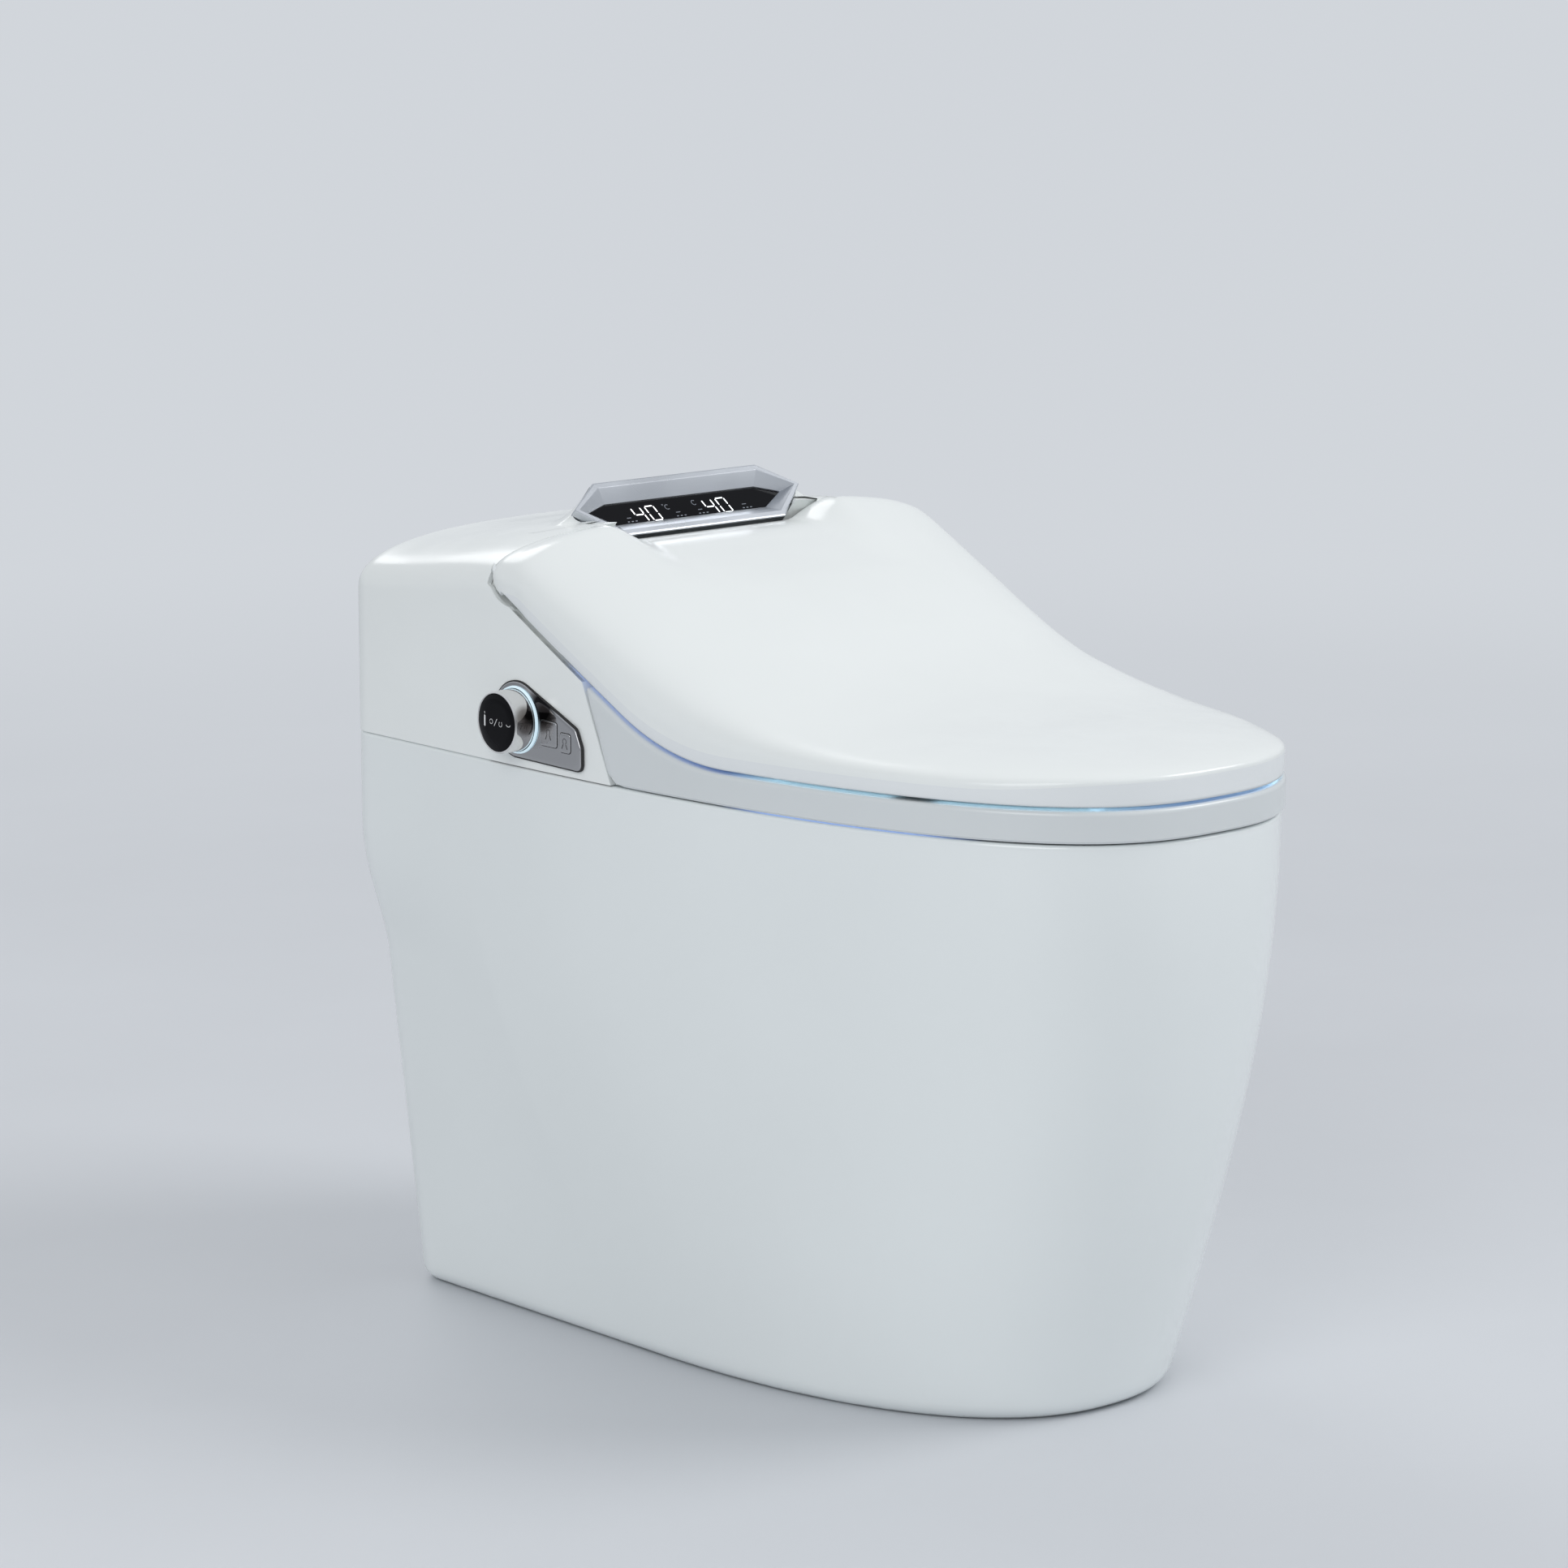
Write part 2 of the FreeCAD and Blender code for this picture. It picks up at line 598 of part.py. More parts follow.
def scoop(drop):
    """Block over the shallow dip of the lid in front of the display pod."""
    ay, az = LID_AXIS
    front_y = ay - SCOOP_LENGTH
    front_z = crown_height(front_y, drop)
    rear_y = ay + POD_HALF_FRONT
    rear_z = az + SCOOP_REAR - drop
    rise = 60.0
    slope = (rear_z - front_z) / (rear_y - front_y)
    low = [(0, front_y - 40, front_z - 40 * slope), (0, rear_y + 40, rear_z + 40 * slope)]
    wire = polygon(low + [(0, rear_y + 40, rear_z + rise), (0, front_y - 40, rear_z + rise)])
    half = POD_HALF_LENGTH - POD_CHAMFER + POD_GAP + 4.0 + drop
    return extrude_x(wire, -half, half)


def rear_notch():
    """Space kept free round the pod and the hinge brackets between the two lid barrels."""
    ay, az = LID_AXIS
    half = LID_BRACKET_OFFSET + BRACKET_THICK / 2 + LUG_GAP
    behind = box(-half, half, ay + 12.0, ay + 80.0, 0, 2 * EXTENT)
    below = box(-half, half, ay - 30.0, ay + 80.0, 0, az + 1.0)
    return behind.fuse(below).fuse(pod_prism(POD_GAP, -60.0, 60.0))


def lid_hinge_lug():
    """Web across the lid barrel that turns on the hinge pin."""
    x0 = LID_BRACKET_OFFSET + BRACKET_THICK / 2 + LUG_GAP + 0.2
    disc = rod_x(x0, x0 + LUG_THICK, *LID_AXIS, LID_BARREL - LID_WALL + 1.0)
    return lid_form(LID_WALL - 1.0, 0.0).common(disc)


def lid_shell():
    """Outer lid moulding: crown, upright edge and rear barrels, open underneath."""
    shell = lid_form(0.0, 0.0).cut(scoop(0.0))
    inner = lid_form(LID_WALL, -20.0).cut(scoop(LID_WALL))
    shell = shell.cut(inner)
    lug = lid_hinge_lug()
    shell = shell.multiFuse([lug, lug.mirror(V(0, 0, 0), V(1, 0, 0))])
    shell = shell.cut(rear_notch())
    half = RIM_HALF
    shell = shell.cut(rod_x(-half + 30, half - 30, *LID_AXIS, LID_PIN + FIT))
    return shell


def lid_liner():
    """Inner panel that closes the lid from below."""
    inset = LID_WALL - SEAT_PROUD + LID_INSET + 0.2
    plate = rim_prism(RIM_HEIGHT - 20, RIM_HEIGHT + 200, -inset)
    plate = plate.common(above_edge(LID_LINER_LIFT)).common(below_edge(LID_LINER_LIFT + LID_LINER))
    ay, az = LID_AXIS
    plate = plate.common(box(-EXTENT, EXTENT, -2 * EXTENT, ay - LID_BARREL - 4.0, 0, 2 * EXTENT))
    return plate


def edge_strip(inset, width, lift, height):
    """Thin strip that follows the lid edge, inset from it."""
    proud = SEAT_PROUD - LID_INSET - inset
    ring = rim_prism(RIM_HEIGHT - 20, RIM_HEIGHT + 200, proud).cut(
        rim_prism(RIM_HEIGHT - 30, RIM_HEIGHT + 210, proud - width))
    ring = ring.common(above_edge(lift)).common(below_edge(lift + height))
    return ring.common(box(-EXTENT, EXTENT, -2 * EXTENT, SEAT_AXIS[0] - 10.0, 0, 2 * EXTENT))


def lid_light_guide():
    """Translucent strip under the liner that shines into the gap over the seat."""
    return edge_strip(LID_WALL + 0.6, 3.0, LID_LINER_LIFT - LIGHT_STRIP, LIGHT_STRIP)


# ---------------------------------------------------------------- seat
def seat_hole(grow, z0, z1):
    """Opening of the seat ring."""
    front = RIM_NOSE_Y + SEAT_NOSE_WIDTH
    rear = front + SEAT_HOLE_LENGTH
    wire = oval(SEAT_HOLE_WIDTH / 2 + grow, front - grow, rear + grow, SEAT_HOLE_EXPONENT, z0)
    return Part.Face(wire).extrude(V(0, 0, z1 - z0))


def seat_form(inset, low):
    """Whole seat form between its underside at low and the surface under the lid."""
    form = rim_prism(low, RIM_HEIGHT + 120, SEAT_PROUD - inset)
    form = form.common(below_edge(-LID_GAP - inset))
    form = form.common(in_front_of_seat_rear(-SEAT_JOINT_GAP - inset))
    return form.cut(seat_hole(inset, low - 1, RIM_HEIGHT + 130))


def seat_arm(x):
    """Arm from the back of the seat to its hinge line."""
    ay, az = SEAT_AXIS
    half = SEAT_ARM_WIDTH / 2
    (y0, z0), (y1, z1) = seat_rear_face(-SEAT_JOINT_GAP)
    lean = (y1 - y0) / (z1 - z0)
    low_z, high_z = SEAT_Z + 20.0, SEAT_AXIS[1] - 8.0
    points = [(0, y0 + (low_z - z0) * lean - 0.5, low_z), (0, ay, az - SEAT_KNUCKLE),
              (0, ay, az + 2.0), (0, y0 + (high_z - z0) * lean - 0.5, high_z)]
    web = extrude_x(polygon(points), x - half, x + half)
    return web.fuse(rod_x(x - half, x + half, ay, az, SEAT_KNUCKLE)).cut(
        rod_x(x - half - 1, x + half + 1, ay, az, SEAT_PIN + FIT))


def seat_upper_shell():
    """Seat moulding with its hinge arms, open underneath."""
    shell = seat_form(0.0, SEAT_Z).cut(seat_form(SEAT_WALL, SEAT_Z - 1))
    arms = [seat_arm(SEAT_ARM_OFFSET), seat_arm(-SEAT_ARM_OFFSET)]
    return shell.multiFuse(arms)


def seat_lower_shell():
    """Flat underside of the seat, let into the moulding."""
    plate = seat_form(SEAT_WALL + 0.2, SEAT_Z + 0.2)
    return plate.common(box(-EXTENT, EXTENT, -2 * EXTENT, 2 * EXTENT, 0, SEAT_Z + 0.2 + SEAT_WALL))


def seat_heater():
    """Heating film bonded under the seat surface."""
    film = rim_prism(SEAT_Z, RIM_HEIGHT + 60, SEAT_PROUD - HEATER_MARGIN)
    film = film.cut(seat_hole(HEATER_MARGIN, SEAT_Z - 1, RIM_HEIGHT + 70))
    top = -LID_GAP - SEAT_WALL
    film = film.common(below_edge(top)).common(above_edge(top - HEATER_FILM))
    return film.common(box(-EXTENT, EXTENT, -2 * EXTENT, SEAT_AXIS[0] - 75.0, 0, 2 * EXTENT))


def pads(positions, radius, z0, z1):
    """Round pads standing on one level."""
    return Part.makeCompound([rod((x, y, z0), (x, y, z1), radius) for x, y in positions])


def ring_points(share):
    """Four places on the seat ring, by pairs."""
    front = RIM_NOSE_Y + SEAT_NOSE_WIDTH / 2
    side = (RIM_HALF + SEAT_HOLE_WIDTH / 2) / 2
    near, far = front + 8.0, LID_SWEEP_Y - 25.0
    return [(-60.0 * share, near), (60.0 * share, near), (-side, far), (side, far)]


def seat_bumpers():
    """Rubber pads between the seat and the ceramic rim."""
    return pads(ring_points(1.0), BUMPER_RADIUS, RIM_HEIGHT + 0.1, SEAT_Z + 0.2)


def lid_bumpers():
    """Rubber pads between the lid and the seat."""
    return pads(ring_points(1.2), BUMPER_RADIUS - 2.0, SEAT_TOP_Z + 0.2, LID_Z + LID_LINER_LIFT)


def seat_light_guide():
    """Translucent strip under the seat edge, above the rim."""
    z0 = SEAT_Z - SEAT_LIGHT
    ring = rim_prism(z0, SEAT_Z + 0.2, SEAT_PROUD - 6.0).cut(rim_prism(z0 - 1, SEAT_Z + 1, SEAT_PROUD - 9.0))
    return ring.common(box(-EXTENT, EXTENT, -2 * EXTENT, -10.0, 0, 2 * EXTENT))


# ---------------------------------------------------------------- rear housing
def housing_top(y):
    """Height of the housing roof at y."""
    rise = LID_AXIS[1] + LID_BARREL - 3.0 - (RIM_HEIGHT + HOUSING_REAR_HEIGHT)
    span = BACK_Y - LID_AXIS[0] - LID_BARREL
    return RIM_HEIGHT + HOUSING_REAR_HEIGHT + rise * smooth((BACK_Y - y) / span)


def housing_form(inset):
    """Housing form: shoulder sections cut to the plan, the seat edge, the lid edge and the barrel."""
    half = RIM_HALF - inset
    low = RIM_HEIGHT + SEAM
    stations = [lerp(-10.0, BACK_Y + 2.0, i / 14) for i in range(15)]
    side = RIM_HEIGHT + HOUSING_SIDE - inset
    base = low - (1.0 if inset else 0.0)
    wires = [shoulder_section(y, base, side, housing_top(y) - inset, half + 0.02) for y in stations]
    form = Part.makeLoft(wires, True, False)
    form = form.common(rim_prism(base - 1, RIM_HEIGHT + 200, -inset))
    ay, az = LID_AXIS
    form = form.cut(above_edge(-LIGHT_GAP - inset).common(box(-EXTENT, EXTENT, -EXTENT, ay, 0, 2 * EXTENT)))
    form = form.cut(rod_x(-EXTENT, EXTENT, ay, az, LID_BARREL + BARREL_GAP + inset))
    return form.cut(in_front_of_seat_rear(inset))


def side_hole(radius, y, z):
    """Hole through the knob side of the housing."""
    return rod_x(-RIM_HALF - 5, -RIM_HALF + HOUSING_WALL + 3, y, z, radius)


def service_pocket(x, grow, deep):
    """Recess in the back of the housing round a service connection."""
    half = POCKET_WIDTH / 2 + grow
    z = RIM_HEIGHT + SERVICE_HEIGHT
    tall = POCKET_HEIGHT / 2 + grow
    return box(x - half, x + half, BACK_Y - POCKET_DEPTH - grow, BACK_Y + deep, z - tall, z + tall)


def rear_housing():
    """Rear cover with the trough for the lid, arm slots, pod pocket and service recesses."""
    shell = housing_form(0.0).cut(housing_form(HOUSING_WALL))
    keep = housing_form(0.0)
    pockets = [service_pocket(INLET_X, HOUSING_WALL, 0.0), service_pocket(GLAND_X, HOUSING_WALL, 0.0)]
    shell = shell.multiFuse([p.common(keep) for p in pockets])
    shell = shell.cut(service_pocket(INLET_X, 0.0, 5.0)).cut(service_pocket(GLAND_X, 0.0, 5.0))
    z = RIM_HEIGHT + SERVICE_HEIGHT
    deep = BACK_Y - POCKET_DEPTH - HOUSING_WALL - 2
    shell = shell.cut(rod((INLET_X, deep, z), (INLET_X, BACK_Y, z), INLET_RADIUS + 0.3))
    shell = shell.cut(rod((GLAND_X, deep, z), (GLAND_X, BACK_Y, z), GLAND_RADIUS + 0.02))
    for side in (-1, 1):
        shell = shell.cut(arm_slot(side * SEAT_ARM_OFFSET)).cut(bracket_slot(side * LID_BRACKET_OFFSET))
    shell = shell.cut(pod_prism(CLEAR, -POD_DEPTH - CLEAR, 60.0))
    shell = shell.cut(well_block(1.0, RIM_HEIGHT - 5, RIM_HEIGHT + 2))
    posts = [rod_x(-RIM_HALF + HOUSING_WALL - 0.5, BOARD_X, y, z, 3.0) for y, z in board_holes()]
    shell = shell.multiFuse(posts)
    ky, kz = knob_axis()
    shell = shell.cut(side_hole(KNOB_HUB + HUB_GAP, ky, kz))
    behind = -RIM_HALF + HOUSING_WALL + FLANGE_PLACE
    for length, height, y, z in button_places():
        shell = shell.cut(button_block(length, height, y, z, BUTTON_GAP, -RIM_HALF - 5, behind))
    recess = Part.Face(plate_wire(-RIM_HALF - 5.0)).extrude(V(5.0 + PLATE_SEAT, 0, 0))
    return shell.cut(recess)


def arm_slot(x):
    """Slot in the housing for one seat arm through its whole turn."""
    half = SEAT_ARM_WIDTH / 2 + SEAT_ARM_GAP
    ay, az = SEAT_AXIS
    upper = box(x - half, x + half, -20, ay + SEAT_KNUCKLE + 3, az - SEAT_KNUCKLE - 12, az + 80)
    lower = box(x - half, x + half, -20, ay - SEAT_KNUCKLE, SEAT_Z + 6, az)
    return upper.fuse(lower)


def bracket_slot(x):
    """Slot in the trough for one lid bracket."""
    half = BRACKET_THICK / 2 + 1.0
    wide = BRACKET_WIDTH / 2 + 1.0
    ay, az = LID_AXIS
    return box(x - half, x + half, ay - wide, ay + wide, az - 60, az + 40)


def well_block(grow, z0, z1):
    """Block over the nozzle recess."""
    rear = RIM_NOSE_Y + BOWL_RIM + BOWL_LENGTH
    half = WELL_WIDTH / 2 - grow
    return box(-half, half, rear - 40, rear + WELL_LENGTH - grow, z0, z1)


# ---------------------------------------------------------------- display pod
def pod_hexagon(grow, depth):
    """Hexagon of the display, grown outwards, at a height above the display plane."""
    cx = POD_HALF_LENGTH - POD_CHAMFER
    d = grow * math.tan(math.radians(22.5))
    front, rear = POD_HALF_FRONT + grow, POD_HALF_REAR + grow
    flat = [(cx + d, -front), (POD_HALF_LENGTH + grow, 0.0), (cx + d, rear)]
    flat = flat + [(-x, y) for x, y in reversed(flat)]
    t = math.radians(POD_TILT)
    y0, z0 = BACK_Y - POD_BACK, RIM_HEIGHT + POD_HEIGHT
    points = []
    for x, v in flat:
        y = y0 + v * math.cos(t) - depth * math.sin(t)
        z = z0 + v * math.sin(t) + depth * math.cos(t)
        points.append((x, y, z))
    return polygon(points)


def pod_prism(grow, low, high):
    """Hexagonal prism square to the display between two heights over its plane."""
    return Part.makeLoft([pod_hexagon(grow, low), pod_hexagon(grow, high)], True, True)


def display_bezel():
    """Satin frame round the display with its sloping inner walls."""
    frame = pod_prism(0.0, -POD_BEZEL_DEPTH, 0.0)
    floor = pod_hexagon(-POD_RIM - POD_BEVEL, -POD_DISH)
    dish = Part.makeLoft([floor, pod_hexagon(-POD_RIM, 0.0)], True, True)
    top = pod_prism(-POD_RIM, 0.0, 1.0)
    seat = pod_prism(-POD_RIM - POD_BEVEL, -POD_BEZEL_DEPTH - 1, -POD_DISH)
    ledge = pod_prism(-POD_RIM - POD_BEVEL + POD_LEDGE, -POD_BEZEL_DEPTH - 1, -POD_DISH - POD_LIP)
    return frame.cut(dish).cut(top).cut(seat).cut(ledge)


def display_glass():
    """Black glass let in from below the bezel ledge."""
    low = -POD_DISH - POD_LIP - POD_GLASS
    return pod_prism(-POD_RIM - POD_BEVEL + POD_LEDGE - 0.2, low, low + POD_GLASS)


def display_board():
    """Circuit board under the glass."""
    top = -POD_DISH - POD_LIP - POD_GLASS
    return pod_prism(-POD_RIM - POD_BEVEL + POD_LEDGE - 1.0, top - BOARD_THICK, top)


def pod_base():
    """Base of the pod that stands in the pocket of the housing."""
    base = pod_prism(0.0, -POD_DEPTH, -POD_BEZEL_DEPTH)
    base = base.cut(pod_prism(-HOUSING_WALL, -POD_DEPTH + HOUSING_WALL, -POD_BEZEL_DEPTH + 1))
    ay, az = LID_AXIS
    return base.cut(rod_x(-EXTENT, EXTENT, ay, az, LID_BARREL - 2.2))


# ---------------------------------------------------------------- side controls
def knob_axis():
    """Height and depth of the knob axis as (y, z)."""
    return BACK_Y - KNOB_BACK, RIM_HEIGHT + KNOB_HEIGHT


def button_places():
    """Length, height and middle (y, z) of each side button."""
    ky, kz = knob_axis()
    places = []
    for length, height, reach in BUTTON_SIZES:
        places.append((length, height, ky - reach, kz - PLATE_DROP * (reach - 12.0) / PLATE_LENGTH))
    return places


def button_block(length, height, y, z, grow, x0, x1):
    """Rounded block of one button, grown outwards."""
    half, tall = length / 2 + grow, height / 2 + grow
    block = box(x0, x1, y - half, y + half, z - tall, z + tall)
    edges = [e for e in block.Edges if abs(e.tangentAt(e.FirstParameter).x) > 0.9]
    return block.makeFillet(2.5, edges)


def plate_wire(x):
    """Teardrop outline of the side plate: round about the knob, narrow towards the nose."""
    ky, kz = knob_axis()
    low = kz - PLATE_DROP - PLATE_SMALL / 2
    high = kz - PLATE_DROP + PLATE_SMALL
    end = ky - PLATE_LENGTH
    top = V(x, ky - PLATE_BIG * 0.5, kz + PLATE_BIG * math.sqrt(0.75))
    bottom = V(x, ky, kz - PLATE_BIG)
    arc = Part.Arc(bottom, V(x, ky + PLATE_BIG, kz), top).toShape()
    return Part.Wire([
        arc,
        Part.makeLine(top, V(x, end + 4, high)),
        Part.makeLine(V(x, end + 4, high), V(x, end, high - 6)),
        Part.makeLine(V(x, end, high - 6), V(x, end, low + 4)),
        Part.makeLine(V(x, end, low + 4), V(x, end + 5, low)),
        Part.makeLine(V(x, end + 5, low), bottom)])


def side_plate():
    """Bright plate behind the knob with cut-outs for the two buttons."""
    x = -RIM_HALF - PLATE_THICK
    back = -RIM_HALF + PLATE_SEAT
    plate = Part.Face(plate_wire(x)).extrude(V(back - x, 0, 0))
    ky, kz = knob_axis()
    plate = plate.cut(rod_x(x - 1, back + 1, ky, kz, KNOB_HUB + HUB_GAP))
    for length, height, y, z in button_places():
        plate = plate.cut(button_block(length, height, y, z, BUTTON_GAP, x - 1, back + 1))
    return plate


def side_button(index):
    """Button with a flange that stops it behind the housing wall."""
    length, height, y, z = button_places()[index]
    wall = -RIM_HALF + HOUSING_WALL + FLANGE_PLACE
    front = -RIM_HALF - PLATE_THICK - BUTTON_PROUD
    cap = button_block(length, height, y, z, 0.0, front, wall)
    flange = button_block(length, height, y, z, 1.2, wall, wall + 1.0)
    return cap.fuse(flange)


def knob_light_ring():
    """Translucent ring on the plate round the foot of the knob."""
    ky, kz = knob_axis()
    x = -RIM_HALF - PLATE_THICK
    return rod_x(x - RING_DEPTH, x, ky, kz, RING_RADIUS).cut(rod_x(x - 9, x + 1, ky, kz, KNOB_RADIUS + 0.6))


def knob_front():
    """Plane of the knob's front edge."""
    return -RIM_HALF - PLATE_THICK - KNOB_TRAVEL - CLEAR - KNOB_DEPTH


def knob_shell():
    """Bright cup of the knob with its hub and a recess for the face."""
    ky, kz = knob_axis()
    x0 = knob_front()
    x1 = x0 + KNOB_DEPTH
    cup = rod_x(x0, x1, ky, kz, KNOB_RADIUS)
    cup = cup.makeChamfer(0.8, [e for e in cup.Edges if e.Closed and e.BoundBox.XMax < x0 + 0.1])
    cup = cup.cut(rod_x(x0 - 1, x0 + KNOB_FACE, ky, kz, KNOB_RADIUS - KNOB_WALL))
    cup = cup.cut(rod_x(x0 + KNOB_FACE + KNOB_FLOOR, x1 + 1, ky, kz, KNOB_RADIUS - KNOB_WALL))
    hub = rod_x(x0 + KNOB_FACE + 2.0, x1, ky, kz, KNOB_HUB)
    return cup.fuse(hub).cut(rod_x(x0 + KNOB_FACE + SOCKET_ROOF, x1 + 1, ky, kz, SHAFT_RADIUS + FIT))


def knob_face():
    """Black glass disc in the front of the knob."""
    ky, kz = knob_axis()
    x0 = knob_front()
    return rod_x(x0 + 0.1, x0 + KNOB_FACE, ky, kz, KNOB_RADIUS - KNOB_WALL - 0.1)


def knob_shaft():
    """Shaft that turns with the knob and runs in the encoder."""
    ky, kz = knob_axis()
    x0 = knob_front() + KNOB_FACE + SOCKET_ROOF + KNOB_TRAVEL + CLEAR
    return rod_x(x0, BOARD_X + BOARD_THICK + 6.0, ky, kz, SHAFT_RADIUS)


def knob_encoder():
    """Encoder body on the switch board."""
    ky, kz = knob_axis()
    x0 = BOARD_X + BOARD_THICK
    body = box(x0, x0 + 8.0, ky - 7, ky + 7, kz - 7, kz + 7)
    return body.cut(rod_x(x0 - 1, x0 + 6.4, ky, kz, SHAFT_RADIUS + FIT))


def board_holes():
    """Four posts (y, z) that hold the switch board."""
    ky, kz = knob_axis()
    return [(ky + 21, kz + 18), (ky - 60, kz + 8), (ky + 21, kz - 21), (ky - 60, kz - 24)]


def switch_board():
    """Board behind the side controls with two tactile switches."""
    ky, kz = knob_axis()
    board = box(BOARD_X, BOARD_X + BOARD_THICK, ky - 65, ky + 26, kz - 27, kz + 24)
    board = board.cut(rod_x(BOARD_X - 1, BOARD_X + 5, ky, kz, SHAFT_RADIUS + 0.6))
    switches = []
    for length, height, y, z in button_places():
        top = -RIM_HALF + HOUSING_WALL + FLANGE_PLACE + 1.0 + BUTTON_TRAVEL + 0.1
        switches.append(box(top, BOARD_X, y - 3, y + 3, z - 3, z + 3))
    return board.multiFuse(switches)


# ---------------------------------------------------------------- chassis and hinges
FLOOR_Z = RIM_HEIGHT + SEAM + CHASSIS_THICK


def chassis():
    """Base plate of the upper unit with the brackets of both hinges."""
    z0 = RIM_HEIGHT + SEAM
    margin = HOUSING_WALL + 0.4
    plate = rim_prism(z0, FLOOR_Z, -margin).cut(in_front_of_seat_rear(HOUSING_WALL + 1.0))
    plate = plate.cut(well_block(-1.0, z0 - 1, FLOOR_Z + 1))
    parts = [plate]
    for side in (-1, 1):
        parts.append(hinge_bracket(side * LID_BRACKET_OFFSET, BRACKET_THICK, LID_AXIS, BRACKET_WIDTH / 2))
        for offset in seat_bracket_offsets():
            parts.append(hinge_bracket(side * offset, SEAT_BRACKET_THICK, SEAT_AXIS, SEAT_BRACKET_WIDTH / 2))
    body = parts[0].multiFuse(parts[1:])
    for side in (-1, 1):
        x = side * LID_BRACKET_OFFSET
        body = body.cut(rod_x(x - 10, x + 10, *LID_AXIS, LID_PIN + 0.01))
        x = side * SEAT_ARM_OFFSET
        body = body.cut(rod_x(x - 25, x + 25, *SEAT_AXIS, SEAT_PIN + 0.01))
    for x, y in screw_places():
        body = body.cut(rod((x, y, z0 - 1), (x, y, FLOOR_Z + 1), SCREW_RADIUS + 0.3))
    return body


def seat_bracket_offsets():
    """Middle planes of the two brackets beside each seat arm."""
    reach = SEAT_ARM_WIDTH / 2 + 1.6 + SEAT_BRACKET_THICK / 2
    return SEAT_ARM_OFFSET - reach, SEAT_ARM_OFFSET + reach


def hinge_bracket(x, thick, axis, half_width):
    """Upright plate with a round head about a hinge line."""
    y, z = axis
    post = box(x - thick / 2, x + thick / 2, y - half_width, y + half_width, FLOOR_Z - 0.5, z)
    return post.fuse(rod_x(x - thick / 2, x + thick / 2, y, z, half_width))


def lid_pins():
    """Stub pins from the brackets into the lid webs."""
    inner = LID_BRACKET_OFFSET - BRACKET_THICK / 2
    outer = LID_BRACKET_OFFSET + BRACKET_THICK / 2 + LUG_GAP + LUG_THICK
    return both_sides(rod_x(inner, outer, *LID_AXIS, LID_PIN))


def seat_pins():
    """Pins through the seat arms and their brackets."""
    near, far = seat_bracket_offsets()
    half = SEAT_BRACKET_THICK / 2
    return both_sides(rod_x(near - half, far + half, *SEAT_AXIS, SEAT_PIN))


def lid_dampers():
    """Soft-close cartridges inside the two lid barrels."""
    x0 = LID_BRACKET_OFFSET + BRACKET_THICK / 2 + LUG_GAP + LUG_THICK + 0.4
    return both_sides(rod_x(x0, x0 + 52.0, *LID_AXIS, LID_PIN + 5.0))


def screw_places():
    """Screws that hold the chassis to the ceramic deck."""
    return [(-150.0, 150.0), (150.0, 150.0), (-60.0, 255.0), (80.0, 255.0)]


def deck_screws():
    """Screws with round heads through the chassis."""
    screws = []
    for x, y in screw_places():
        shank = rod((x, y, RIM_HEIGHT + 0.1), (x, y, FLOOR_Z), SCREW_RADIUS)
        head = rod((x, y, FLOOR_Z), (x, y, FLOOR_Z + 3.5), SCREW_RADIUS * 2)
        screws.append(shank.fuse(head))
    return Part.makeCompound(screws)


# ---------------------------------------------------------------- washing unit
def wand_axis():
    """Tip point and direction of the nozzle wands at rest, in the YZ plane."""
    a = math.radians(WAND_SLOPE)
    tip = V(0, WAND_TIP_Y, RIM_HEIGHT + WAND_TIP_Z)
    return tip, V(0, -math.cos(a), -math.sin(a))


def wand_bar(x, radius, ahead, behind):
    """Round bar along the wand line from ahead of the tip to behind it."""
    tip, out = wand_axis()
    start = tip + out * ahead + V(x, 0, 0)
    end = tip - out * behind + V(x, 0, 0)
    return rod(tuple(start), tuple(end), radius)


def nozzle_wand(x):
    """Wand with a rounded tip and a water outlet on top."""
    bar = wand_bar(x, WAND_RADIUS, 0.0, WAND_LENGTH)
    tip, out = wand_axis()
    rims = [e for e in bar.Edges if e.Closed and (e.CenterOfMass - (tip + V(x, 0, 0))).Length < 1.0]
    bar = bar.makeFillet(3.0, rims)
    place = tip - out * 9.0 + V(x, 0, 0)
    jet = rod(tuple(place), tuple(place + V(0, 0, 20)), 1.6)
    return bar.cut(jet)


def nozzle_cradle():
    """Guide block that carries both wands behind the bowl."""
    tip, out = wand_axis()
    width = WAND_SPACING + 2 * WAND_RADIUS + 2 * CRADLE_WALL
    radius = WAND_RADIUS + CRADLE_WALL
    block = box(-width / 2, width / 2, -radius, radius, 0, WAND_LENGTH + 4.0)
    block.rotate(V(0, 0, 0), V(1, 0, 0), -(90.0 - WAND_SLOPE))
    block.translate(tip - out * 2.0)
    hole = Part.makeCompound([wand_bar(x, WAND_RADIUS + 0.08, 10.0, WAND_LENGTH + 0.5)
                              for x in (-WAND_SPACING / 2, WAND_SPACING / 2)])
    foot_y = RIM_NOSE_Y + BOWL_RIM + BOWL_LENGTH + WELL_LENGTH - 22.0
    z0 = RIM_HEIGHT - WELL_DEPTH
    leg = box(-width / 2, width / 2, foot_y - 8.0, foot_y, z0 + 0.1, RIM_HEIGHT + 28.0)
    low = box(-width / 2, width / 2, WAND_TIP_Y + 6.0, WAND_TIP_Y + 14.0, z0 + 0.1, RIM_HEIGHT - 14.0)
    legs = leg.fuse(low)
    return block.fuse(legs).cut(hole)


